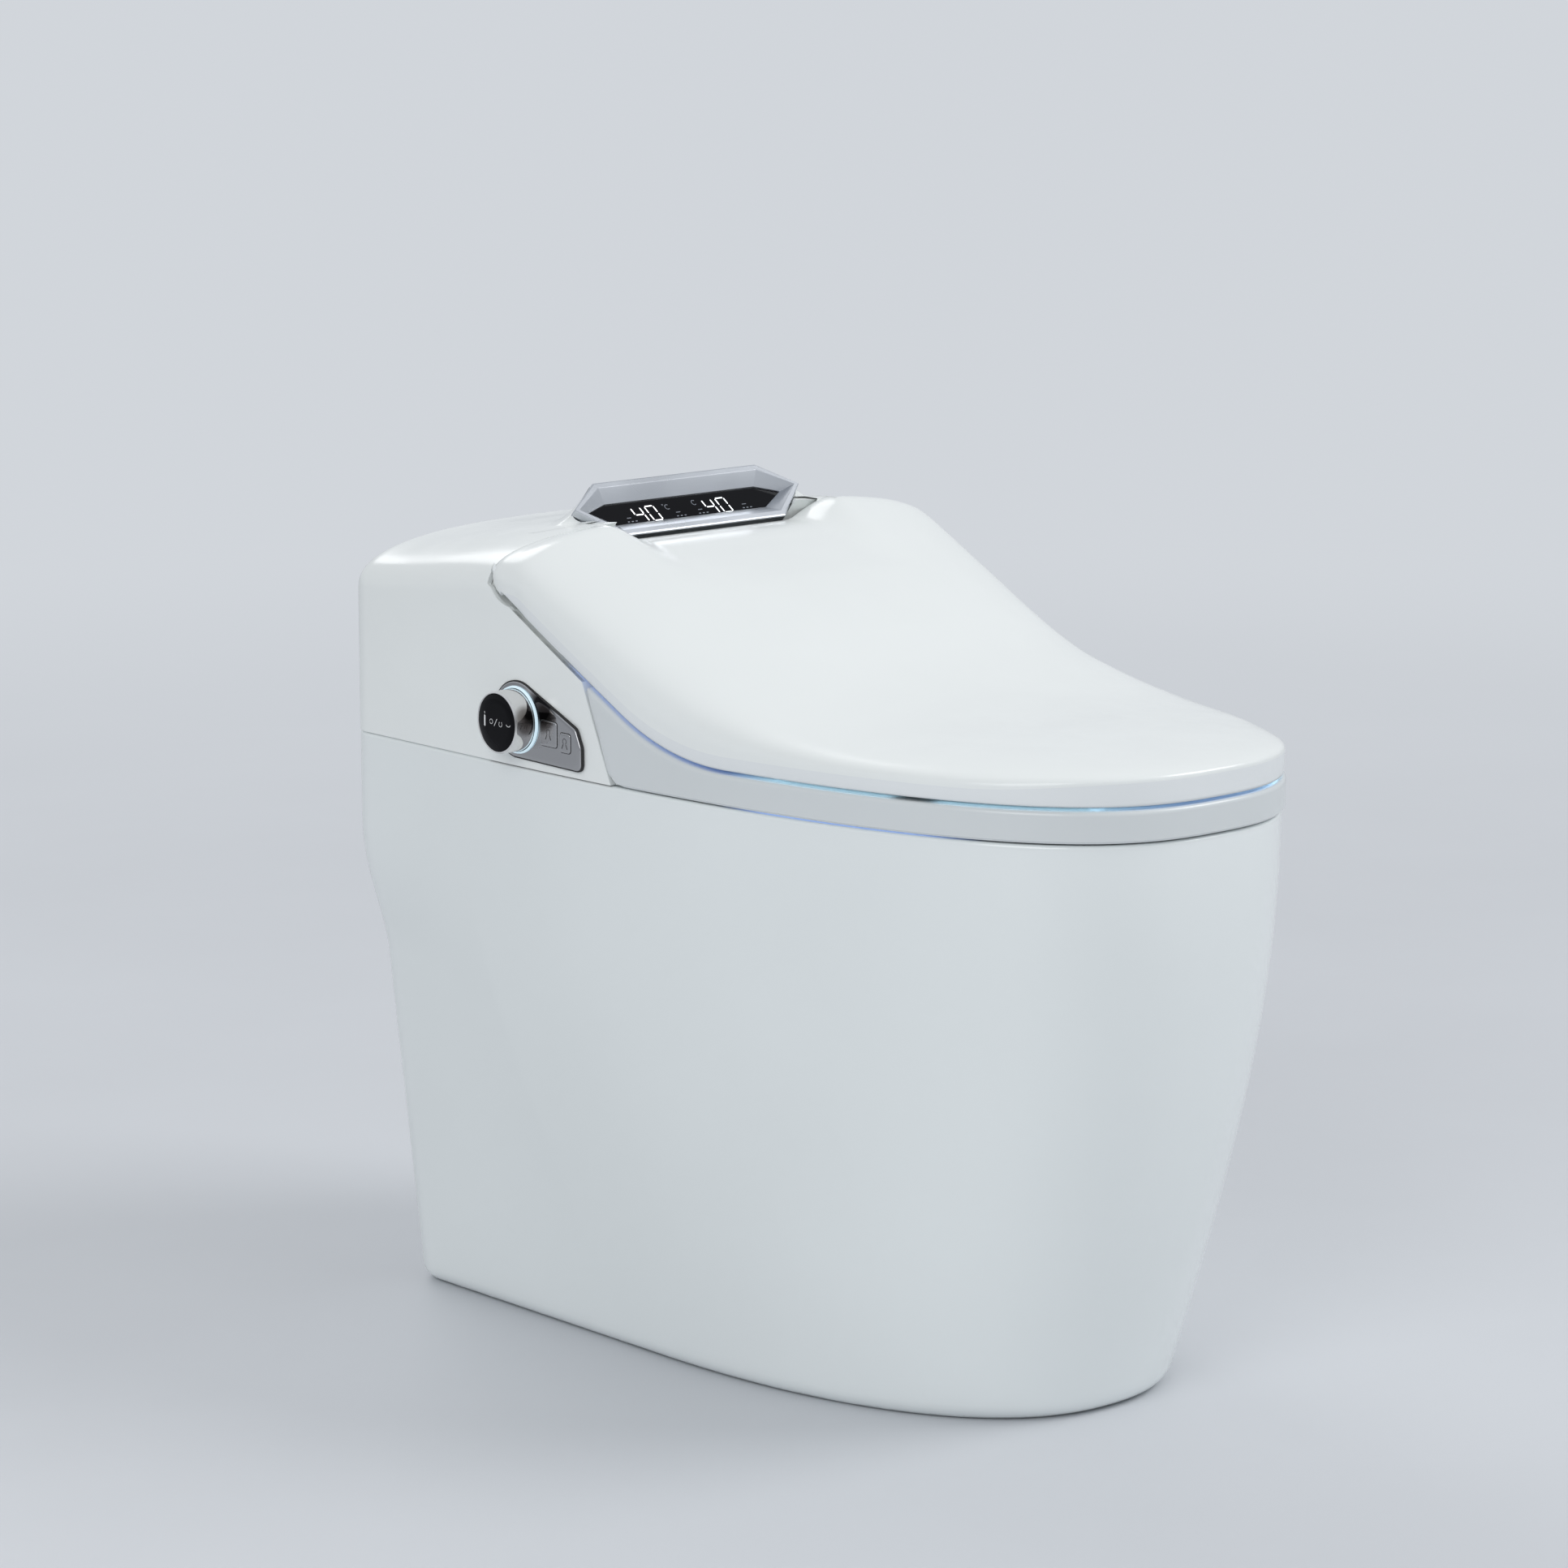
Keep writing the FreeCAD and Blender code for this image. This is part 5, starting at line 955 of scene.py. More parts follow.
def seat_plan(inset, rear_y, count=220):
    """Right half of the seat outline cut off by its rear edge, then closed by its mirror image."""
    reach = RIM_WIDE - RIM_NOSE + SEAT_PROUD - inset
    side = superellipse(RIM_HALF + SEAT_PROUD - inset, reach, RIM_WIDE, RIM_POWER, 3000)
    side = side[side[:, 1] < rear_y - inset - SEAT_CORNER]
    corner = np.array([side[0, 0], rear_y - inset])
    turn = bend(corner - [SEAT_CORNER, 0.0], corner, side[0], 8)
    return closed_plan(np.concatenate([[[0.0, rear_y - inset]], turn, side[1:]]), count)


def seat_hole(grow):
    """Outline of the seat's opening, grown outwards."""
    half, front, rear = SEAT_HOLE
    return oval_plan(half + grow, front - grow, rear + grow, SEAT_HOLE_POWER, 220)


def seat_top(plan):
    """Height of the seat's top at each point of an outline: the lid's lower edge less the gap between."""
    return edge_height(plan[:, 1], -SEAT_GAP)


def seat_patches(edge_round, hole_round, dish):
    """Seat ring: hole wall, top with a slight dish and outer wall as one closed grid round the ring."""
    rear_top = float(seat_rear_y(SEAT_REAR_TOP))
    rows = [ring(seat_hole(grow), SEAT_Z + rise) for rise, grow in quarter(SEAT_HOLE_FOOT, 4)]
    for grow, drop in quarter(hole_round, 9):
        plan = seat_hole(grow)
        rows.append(ring(plan, seat_top(plan) - dish - drop))
    inner, outer = seat_hole(hole_round), seat_plan(edge_round, rear_top)
    for t in np.linspace(0, 1, 22)[1:]:
        plan = lerp(inner, outer, t)
        rows.append(ring(plan, seat_top(plan) - dish * (1 - smooth(t * DISH_REACH))))
    for drop, inset in quarter(edge_round, 7)[1:]:
        plan = seat_plan(inset, rear_top)
        rows.append(ring(plan, seat_top(plan) - drop))
    z_low = SEAT_Z + SEAT_FOOT
    z_top = seat_top(seat_plan(0.0, rear_top)) - edge_round
    for t in np.linspace(1, 0, 26)[1:]:
        plan = seat_plan(0.0, float(seat_rear_y(lerp(z_low, SEAT_REAR_TOP, t))))
        rows.append(ring(plan, lerp(z_low, z_top, t)))
    rows.append(ring(seat_plan(SEAT_FOOT, float(seat_rear_y(SEAT_Z))), SEAT_Z))
    return [grid(rows, True, True), copied("seat_upper_shell", behind_seat)]


def behind_seat(centres):
    """Faces of the hinge arms, behind the seat's rear edge."""
    return centres[:, 1] > seat_rear_y(centres[:, 2]) + ARM_GAP


# ---------------------------------------------------------------- lid
def soft_min(a, b, k):
    """Smaller of two heights with the corner between them rounded over k."""
    return 0.5 * (a + b) - 0.5 * np.sqrt((a - b) ** 2 + k * k)


def across():
    """Shares of the way from the lid's edge to its middle: dense at the edge, with one at the notch side."""
    outer = np.linspace(0.0, 1.0, NOTCH_STEPS) ** EDGE_CROWDING * NOTCH_SHARE
    return np.concatenate([outer, np.linspace(NOTCH_SHARE, 1.0, NOTCH_STEPS)[1:]])


def dipped(x, y, z):
    """Lid surface lowered to a shallow saddle in front of the display.

    The saddle's floor falls by a square law ahead of and behind the hinge line. A rounded minimum joins it
    to the lid, weighted by smooth steps across and along.
    """
    ahead, behind = np.minimum(y - HINGE[0], 0.0), np.maximum(y - HINGE[0], 0.0)
    floor = DIP_Z - DIP_AHEAD * ahead ** 2 - DIP_BEHIND * behind ** 2
    weight = (1 - smooth((np.abs(x) - DIP_HALF) / DIP_FADE)) * smooth((y - DIP_Y) / DIP_RUN)
    return lerp(z, np.minimum(z, soft_min(z, floor, DIP_ROUND) + DIP_LIFT), weight)


def lid_outline(count, rear):
    """Rows of the lid's left edge, from behind the hinge to the nose: half width, y, foot and ceiling.

    Behind the hinge the foot is the lower half of a circle and the ceiling the upper half of the barrel.
    """
    side = superellipse(LID_HALF, RIM_WIDE - RIM_NOSE + LID_PROUD, RIM_WIDE, RIM_POWER, 3000)
    side = side[side[:, 1] < HINGE[0]]
    forward = resample(np.concatenate([[[side[0, 0], HINGE[0]]], side]), count)
    a = np.radians(np.linspace(90.0, 0.0, rear))[:-1]
    y = np.concatenate([HINGE[0] + REAR_ROUND * np.sin(a), forward[:, 1]])
    half = np.concatenate([np.full(len(a), forward[0, 0]), forward[:, 0]])
    circle = HINGE[1] - chord(REAR_ROUND, y - HINGE[0])
    foot = np.where(y > HINGE[0] + REAR_ROUND * math.sin(SWEEP_SLOPE), circle, edge_height(y, 0.0))
    ceiling = np.concatenate([HINGE[1] + BARREL * np.cos(a), np.full(count, NO_CEILING)])
    return half, y, foot, ceiling


def lid_crease(y):
    """Top of the lid's upright edge: taller at the nose, level behind the hinge line."""
    band = BAND_TALL + BAND_NOSE * smooth((BAND_NOSE_Y - y) / BAND_NOSE_RUN)
    return soft_min(edge_height(y, 0.0) + band, LID_CREASE, LID_CREASE_ROUND)


def lid_surface(half, y_edge, foot, ceiling):
    """Crown: each row rises from its edge to the crown line by a cubed superellipse.

    A row also runs on along Y to the spine, a softened maximum of its own y and the spine's front. Behind
    the hinge it is held under the barrel and drawn in a little towards its lower edge.
    """
    share = across()
    crease = lid_crease(y_edge)
    top_edge = crown_height(np.minimum(y_edge, HINGE[0]))
    start = np.maximum(foot, crease)
    x_edge = half * dome((start - crease) / (top_edge - crease))
    x = half[:, None] * (1 - share)
    rear = y_edge > HINGE[0]
    near = share <= NOTCH_SHARE + 1e-9
    notch_x = half[rear, None] * (1 - NOTCH_SHARE)
    x[np.ix_(rear, near)] = lerp(x_edge[rear, None], notch_x, share[near] / NOTCH_SHARE)
    spine = SPINE_FRONT + SPINE_SOFT * np.logaddexp(0.0, (y_edge - SPINE_FRONT) / SPINE_SOFT)
    spine = np.where(y_edge > SPINE_REAR, y_edge, spine)
    y = lerp(y_edge[:, None], spine[:, None], share)
    ratio = np.where(half[:, None] > 1e-3, x / np.maximum(half[:, None], 1e-3), 1 - share)
    low = crease[:, None]
    z = low + (crown_height(np.minimum(y, HINGE[0])) - low) * dome(ratio)
    rounding = BARREL_BLEND * smooth((y - HINGE[0]) / BARREL_RUN)
    z = np.where(y > HINGE[0], soft_min(z, ceiling[:, None], rounding), z)
    z = np.maximum(z, start[:, None])
    depth = REAR_ROUND - np.hypot(y - HINGE[0], z - HINGE[1])
    pinch = PINCH * (1 - np.clip(depth / PINCH_DEPTH, 0.0, 1.0)) ** 2 * smooth((y - PINCH_Y) / PINCH_RUN)
    x = x * (1 - pinch * smooth((x - PINCH_X) / PINCH_FADE))
    return -x, y, dipped(x, y, z), start


def half_lid():
    """Left half of the lid: upright band, crown, round over the hinge and sheet before the display."""
    half, y_edge, foot, ceiling = lid_outline(LID_ROWS, REAR_ROWS)
    x, y, z, start = lid_surface(half, y_edge, foot, ceiling)
    crown = np.stack([x, y, z], axis=-1)
    band = []
    for s in np.linspace(0.0, 1.0, 9):
        place = crown[:, 0].copy()
        place[:, 2] = lerp(np.minimum(foot, start), start, s)
        place[:, 0] += BAND_TUCK * (1 - s) ** 3 * (half > 2.0)
        band.append(place)
    under = []
    for t in np.linspace(0.0, 1.0, 6):
        place = band[0][:REAR_ROWS + UNDER_ROWS].copy()
        place[:, 0] = lerp(place[:, 0], -NOTCH_HALF, t)
        under.append(place)
    notch = NOTCH_STEPS - 1
    cap = np.stack([crown[:REAR_ROWS, notch], under[-1][:REAR_ROWS]])
    before_display = front_sheet(crown[REAR_ROWS - 1, notch:])
    sheets = ((band, 1), (crown[:REAR_ROWS, :notch + 1], 0), (crown[REAR_ROWS - 1:], 0), (under, 0),
              (cap, 0), (before_display, 0))
    return [(*grid(rows, False), index) for rows, index in sheets]


def front_sheet(section):
    """Lid between the barrels, from the hinge line back to its edge in front of the display.

    Behind the hinge it falls as a quarter ellipse under the dip, and its step to the crown's section fades
    out towards the edge. The last rows turn the edge down in a quarter circle.
    """
    x, hinge_y = section[:, 0], np.full(len(section), HINGE[0])
    step = section[:, 2] - dipped(x, hinge_y, np.full(len(x), HINGE[1] + BARREL))
    end = lerp(*SHEET_END, smooth((np.abs(x) - SHEET_HALF) / SHEET_FADE))
    rows = []
    for s in np.linspace(0.0, 1.0, 16):
        y = lerp(HINGE[0], end, s)
        fall = HINGE[1] + BARREL * chord(1.0, (y - HINGE[0]) / SHEET_RUN)
        rows.append(np.stack([x, y, dipped(x, y, fall) + step * (1 - s)], axis=-1))
    edge = rows[-1]
    for a in np.radians([30.0, 60.0, 90.0]):
        rows.append(edge + [0.0, SHEET_ROUND * math.sin(a), -SHEET_ROUND * (1 - math.cos(a))])
    return rows


def lid_patches():
    """Both halves of the lid; the second is the mirror image with its faces turned round."""
    left = half_lid()
    right = [(points * [-1.0, 1.0, 1.0], quads[:, ::-1], index) for points, quads, index in left]
    return left + right


# ---------------------------------------------------------------- rear housing
def roof_height(y):
    """Height of the housing roof along the centre line: a smooth step, rounded down to the back wall."""
    y = np.asarray(y, dtype=float)
    fall = BACK_ROUND - chord(BACK_ROUND, np.clip(y - (BACK_Y - BACK_ROUND), 0.0, BACK_ROUND))
    return lerp(ROOF_BACK_Z, ROOF_FRONT_Z, smooth((BACK_Y - y) / (BACK_Y - ROOF_FRONT_Y))) - fall


def side_half(y):
    """Half width of the plan at y: straight sides, with a corner at the back and the nose curve in front."""
    y = np.asarray(y, dtype=float)
    t = np.clip((RIM_WIDE - y) / (RIM_WIDE - RIM_NOSE), 0.0, 1.0)
    half = RIM_HALF * (1 - t ** RIM_POWER) ** (1 / RIM_POWER)
    corner = np.clip(y - (BACK_Y - REAR_CORNER), 0.0, REAR_CORNER)
    return half - (REAR_CORNER - chord(REAR_CORNER, corner))


def crease_height(y):
    """Top of the housing's upright side: it climbs a little towards the lid, by a power of 1.5."""
    share = np.clip((BACK_Y - np.asarray(y)) / (BACK_Y - ROOF_FRONT_Y), 0.0, 1.0)
    return CREASE_Z + CREASE_CLIMB * share ** 1.5


def shoulder_x(y, z, proud):
    """Half width of the housing at (y, z): upright to the crease, then a cubed superellipse to the roof."""
    crease = crease_height(y)
    return (side_half(y) + proud) * dome((z - crease) / (roof_height(y) - crease))


def roof_at(x, y):
    """Height of the roof skin at a place in plan, by the same cubed superellipse."""
    crease = crease_height(y)
    return crease + (roof_height(y) - crease) * dome(np.abs(x) / side_half(y))


def side_top(y):
    """Top of the housing side in front of the roof: under the lid's edge, then round the hinge barrel."""
    y = np.asarray(y, dtype=float)
    line = edge_height(y, -SIDE_GAP)
    circle = HINGE[1] - chord(TROUGH, y - HINGE[0])
    return np.where(y > HINGE[0] - TROUGH_AHEAD, np.minimum(line, circle), line)


def housing_front_y(z):
    """Leaning front edge of the housing, behind the seat."""
    return HOUSING_FRONT + (z - SEAT_Z) * math.tan(REAR_LEAN)


def side_wall(proud, side):
    """Side skin of the housing in front of the roof, and a return round its edges towards the centre.

    Place along Y and height depend on each other, so both are worked out in turn until they settle.
    """
    rise, back = (np.linspace(0.0, 1.0, steps) for steps in WALL_GRID)
    z = np.full(WALL_GRID, WALL_START_Z)
    for _ in range(12):
        y = lerp(housing_front_y(z), HINGE[0] + TROUGH, back)
        z = lerp(SKIN_FOOT, side_top(y), rise[:, None])
    sheet = np.stack([side * shoulder_x(y, z, proud), y, z], axis=-1)
    loop = np.concatenate([sheet[0], sheet[1:, -1], sheet[-1, -2::-1], sheet[-2:0:-1, 0]])
    return [grid(sheet, False), grid([loop, loop - [side * EDGE_RETURN, 0.0, 0.0]])]


def roof_rows(proud):
    """Roof and shoulders of the housing: sections across, from the lid trough to the back wall.

    A section is x = half cos^(2/3) and z = crease + rise sin^(2/3) over upright sides. It starts on the
    trough's circle, whose place along Y depends on z, so both are worked out in turn.
    """
    a = np.linspace(0.0, math.pi, 121)
    out = np.sign(np.cos(a)) * np.abs(np.cos(a)) ** (2 / 3)
    rise = np.abs(np.sin(a)) ** (2 / 3)
    low = np.linspace(0.0, 1.0, 12)[:-1]
    rows = []
    for t in 1 - (1 - np.linspace(0.0, 1.0, 76)) ** 1.5:
        y = np.full(len(a), lerp(HINGE[0] + TROUGH, BACK_Y, t))
        for _ in range(3):
            crease = crease_height(y)
            z = crease + (roof_height(y) + proud - crease) * rise
            y = lerp(HINGE[0] + chord(TROUGH, np.maximum(z - HINGE[1], 0.0)), BACK_Y, t)
        top = np.stack([(side_half(y) + proud) * out, y, z], axis=-1)
        right = np.repeat(top[:1], len(low), axis=0)
        right[:, 2] = lerp(SKIN_FOOT, top[0, 2], low)
        left = (right * [-1.0, 1.0, 1.0])[::-1]
        rows.append(np.concatenate([right, top, left]))
    last = rows[-1]
    inward = ([0.0, BACK_Y, BACK_CENTRE_Z] - last) * [1.0, 0.0, 1.0]
    inward = inward / np.linalg.norm(inward, axis=1, keepdims=True)
    for pull, back in BACK_TURN:
        rows.append(last + inward * pull + [0.0, back, 0.0])
    lip = rows[0].copy()
    lip[:, 2] -= LIP_DROP * np.clip((lip[:, 2] - LIP_Z) / LIP_FADE, 0.0, 1.0)
    lip[:, 0] *= LIP_DRAW
    return [lip] + rows


def off_pod(centres):
    """Roof faces outside the foot of the display's collar."""
    x, y, z = np.abs(centres[:, 0]), centres[:, 1], centres[:, 2]
    reach = COLLAR_HALF - COLLAR_TAPER * np.maximum(y - COLLAR_TURN_Y, 0.0)
    return ~((x < reach) & (y < COLLAR_REAR) & (z > COLLAR_LOW_Z))


def pod_collar():
    """Concave ramp from the roof up to the bezel.

    Each point of the bezel's rear and sides runs outwards to its foot on the roof. Its height falls by
    (1 - t)^2.4 on the way and stays over the roof.
    """
    rim = pod_ring(*COLLAR_RIM)
    rim[:, 2] -= COLLAR_SINK * (1 - smooth((rim[:, 1] - COLLAR_SINK_Y) / COLLAR_SINK_RUN))
    # The rim starts at the foremost point of its left half and runs round the rear.
    start = int(np.argmin(rim[:, 1] + 1000.0 * (rim[:, 0] > 0)))
    rim = np.roll(rim, -start, axis=0)
    if rim[3, 0] > rim[0, 0]:
        rim = np.roll(rim[::-1], 1, axis=0)
    rim = resample(np.concatenate([rim, rim[:1]]), 241)
    rim = rim[rim[:, 1] > COLLAR_FRONT_Y]
    away = rim[:, :2] - COLLAR_CENTRE
    away[:, 0] *= COLLAR_SIDEWAYS
    away = away / np.linalg.norm(away, axis=1, keepdims=True)
    away[:, 1] = np.maximum(away[:, 1], COLLAR_FORWARD)
    spread = COLLAR_SPREAD * smooth((rim[:, 1] - COLLAR_SPREAD_Y) / COLLAR_SPREAD_RUN)
    foot = rim[:, :2] + away * spread[:, None]
    level = roof_at(foot[:, 0], foot[:, 1]) + SKIN_LAP / 2
    rows = []
    for t in np.linspace(0.0, 1.0, 16):
        place = lerp(rim[:, :2], foot, t)
        under = roof_at(place[:, 0], place[:, 1]) + SKIN_LAP
        z = np.maximum(lerp(level, rim[:, 2], (1 - t) ** COLLAR_CURVE), under)
        rows.append(np.stack([place[:, 0], place[:, 1], z], axis=-1))
    return grid(rows, False)


# ---------------------------------------------------------------- display pod
def pod_ring(grow, height, radius=1.2):
    """Hexagon of the display with rounded corners, grown outwards, at a height over the display plane."""
    shoulder = POD_SHOULDER + grow * math.tan(math.radians(22.5))
    right = [(shoulder, -POD_FRONT - grow), (POD_TIP + grow, 0.0), (shoulder, POD_REAR + grow)]
    flat = right + [(-x, v) for x, v in reversed(right)]
    return pod_place(rounded_polygon(flat, max(radius + grow * 0.3, 0.4), 6), height)


def pod_place(plan, height):
    """Points (x, v) of the display plane, lifted along its normal."""
    plan = np.asarray(plan, dtype=float)
    c, s = math.cos(POD_TILT), math.sin(POD_TILT)
    y = POD_CENTRE[0] + plan[:, 1] * c - height * s
    z = POD_CENTRE[1] + plan[:, 1] * s + height * c
    return np.stack([plan[:, 0], y, z], axis=1)


SEGMENTS = {"a": ((0, 1), (1, 1)), "b": ((1, 1), (1, 0.5)), "c": ((1, 0.5), (1, 0)), "d": ((0, 0), (1, 0)),
            "e": ((0, 0), (0, 0.5)), "f": ((0, 0.5), (0, 1)), "g": ((0, 0.5), (1, 0.5))}
DIGITS = {"0": "abcdef", "1": "bc", "2": "abged", "3": "abgcd", "4": "fgbc", "5": "afgcd", "6": "afgecd",
          "7": "abc", "8": "abcdefg", "9": "abfgcd"}


def bar(start, end, width):
    """Flat bar with pointed ends between two points of a plane."""
    start, end = np.asarray(start, dtype=float), np.asarray(end, dtype=float)
    along = (end - start) / np.linalg.norm(end - start)
    side = np.array([-along[1], along[0]]) * width / 2
    tip = along * width / 2
    return np.array([start, start + tip + side, end - tip + side, end, end - tip - side, start + tip - side])


def digit_bars(text, origin):
    """Seven-segment digits as bars of the display plane, leaning by the slant."""
    bars = []
    for k, digit in enumerate(text):
        for name in DIGITS[digit]:
            u, v = np.array(SEGMENTS[name], dtype=float).T
            x = origin[0] + k * (DIGIT_WIDE + DIGIT_GAP) + u * DIGIT_WIDE + DIGIT_SLANT * v * DIGIT_TALL
            a, b = np.stack([x, origin[1] + v * DIGIT_TALL], axis=1)
            cut = (b - a) / np.linalg.norm(b - a) * DIGIT_LINE * BAR_CUT
            bars.append(bar(a + cut, b - cut, DIGIT_LINE))
    return bars


def display_marks():
    """Small signs of the display: two open rings, a dot, and four sets of dashes under a line."""
    marks = stroke(arc_points((-15.6, -1.0), 2.0, 50, 310), 0.6)
    marks += stroke(arc_points((9.0, 0.0), 2.0, 50, 310), 0.6)
    marks += stroke(arc_points((-18.8, 1.2), 0.6, 0, 330, 6), 0.35)
    for base in (-56.0, -12.0, 8.0, 48.0):
        for k in range(3):
            marks.append(bar((base + 3.4 * k, -9.6), (base + 3.4 * k + 2.0, -9.6), 0.7))
        marks.append(bar((base + 1.0, -6.4), (base + 5.0, -6.4), 0.5))
    return marks


def stroke(points, width):
    """Bars along a polyline."""
    return [bar(start, end, width) for start, end in zip(points[:-1], points[1:])]


def arc_points(centre, radius, start, end, count=10):
    """Points of a circular arc, angles in degrees."""
    a = np.radians(np.linspace(start, end, count))
    return np.stack([centre[0] + radius * np.cos(a), centre[1] + radius * np.sin(a)], axis=1)


# ---------------------------------------------------------------- side controls
def plate_loop(grow=0.0):
    """Teardrop of the side plate in the (y, z) plane: a round about the knob and a blunt front end."""
    round_end = arc_points(KNOB_AXIS, PLATE_ROUND, -82.0, 118.0, 40)
    front = rounded_polygon([round_end[-1], *PLATE_FRONT, round_end[0]], PLATE_CORNER, 8)[8:-8]
    loop = np.concatenate([round_end, front])
    loop = resample(np.concatenate([loop, loop[:1]]), 161)[:-1]
    return shrink(loop, -grow)


def on_side(points, x):
    """Points of the (y, z) plane at a place along X."""
    points = np.asarray(points, dtype=float)
    return np.stack([np.full(len(points), x), points[:, 0], points[:, 1]], axis=1)


def cushion_plate(loop, x_back, x_front, bevel, middle, steps):
    """Flat piece with a rounded front edge: rings of its outline, then rings that close on the middle."""
    rows = [on_side(loop, x_back)]
    for inset, back in quarter(bevel, 4):
        rows.append(on_side(shrink(loop, inset), x_front + back))
    inner = shrink(loop, bevel)
    for t in np.linspace(0, 1, steps)[1:]:
        rows.append(on_side(lerp(inner, np.array([middle]), t), x_front))
    return [grid(rows)]


def knob_signs():
    """Signs on the knob's face round its axis: a mark with a dot, a ring, a slash, a hook and an arc."""
    signs = stroke([(12.5, 4.0), (12.5, -4.0)], 1.5)
    signs += stroke(arc_points((12.5, 5.4), 0.6, 0, 330, 8), 0.6)
    signs += stroke(arc_points((5.6, 0.2), 1.6, 0, 340, 12), 0.45)
    signs += stroke([(2.6, -2.6), (-0.6, 2.6)], 0.45)
    signs += stroke(arc_points((-4.2, -0.6), 1.7, 120, 420, 12), 0.45)
    signs += stroke(arc_points((-12.4, 1.6), 2.8, 215, 325, 8), 0.6)
    return [sign + KNOB_AXIS for sign in signs]


def key_sign(centre):
    """Sign of a key: an open ring over two legs."""
    sign = stroke(arc_points((0.0, 1.2), 1.9, -60, 240, 12), 0.55)
    sign += stroke([(1.2, -0.6), (2.9, -4.0)], 0.6) + stroke([(-1.2, -0.6), (-2.9, -4.0)], 0.6)
    return [line + centre for line in sign]


# ---------------------------------------------------------------- operators
class TOILET_OT_ceramic(bpy.types.Operator):
    """Glazed pan: fine skirt, rim and bowl over the frame's hollow and trapway"""
    bl_idname = "toilet.ceramic"
    bl_label = "Ceramic pan"

    def execute(self, context):
        look = settings("toilet_ceramic")
        patches = ceramic_patches(look.rim_round / MM, look.bowl_round / MM)
        add_piece("pan_glazed", patches, ["glazed_china"], "root", ("ceramic_pan",),
                  recalc=False)
        return {"FINISHED"}


class TOILET_OT_seat(bpy.types.Operator):
    """Heated seat ring with its rounded edges and hinge arms"""
    bl_idname = "toilet.seat"
    bl_label = "Seat"

    def execute(self, context):
        look = settings("toilet_seat")
        patches = seat_patches(look.edge_round / MM, look.hole_round / MM, look.dish / MM)
        add_piece("seat_moulding", patches, ["seat_white"], "seat", ("seat_upper_shell",))
        return {"FINISHED"}


class TOILET_OT_lid(bpy.types.Operator):
    """Swept lid moulding with its side band and the dip in front of the display"""
    bl_idname = "toilet.lid"
    bl_label = "Lid"

    def execute(self, context):
        lid = add_piece("lid_moulding", lid_patches(), ["white_plastic", "side_band"], "lid",
                        ("lid_shell",), sharp=40.0)
        wall = lid.modifiers.new("wall", "SOLIDIFY")
        wall.thickness = settings("toilet_lid").wall
        wall.offset = -1.0
        return {"FINISHED"}


class TOILET_OT_housing(bpy.types.Operator):
    """Finished skin of the rear housing over the frame's cover"""
    bl_idname = "toilet.housing"
    bl_label = "Rear housing"

    def execute(self, context):
        proud = settings("toilet_housing").proud / MM
        points, quads = grid(roof_rows(proud), False)
        patches = [(points, quads[off_pod(points[quads].mean(axis=1))]), pod_collar()]
        for side in (-1.0, 1.0):
            for points, quads in side_wall(proud, side):
                patches.append((points, quads if side < 0 else quads[:, ::-1]))
        points, faces = copied("rear_housing")
        x, y, z = points.T
        back = (y > BACK_Y - BACK_ROUND - 2.0) & (z > CREASE_Z)
        points[back, 2] = np.minimum(z[back], roof_at(x[back], y[back]) - SKIN_LAP)
        patches.append((points, faces))
        add_piece("housing_skin", patches, ["white_plastic"], "root", ("rear_housing",),
                  recalc=False)
        return {"FINISHED"}


class TOILET_OT_display(bpy.types.Operator):
    """Satin bezel and lit numbers of the display"""
    bl_idname = "toilet.display"
    bl_label = "Display"

    def execute(self, context):
        rings = [pod_ring(grow, height) for grow, height in BEZEL_PROFILE]
        add_piece("display_frame", [grid(rings)], ["satin_silver"], "root",
                  ("display_bezel",), sharp=20.0)
        text = f"{settings('toilet_display').number:02d}"
        digits = [line for origin in DIGIT_PLACES for line in digit_bars(text, origin)]
        faces = plate_of(digits, pod_place, DIGIT_HEIGHT)
        add_lines("display_digits", faces, "lit_digits", "root")
        faces = plate_of(display_marks(), pod_place, MARK_HEIGHT)
        add_lines("display_marks", faces, "faint_marks", "root")
        return {"FINISHED"}


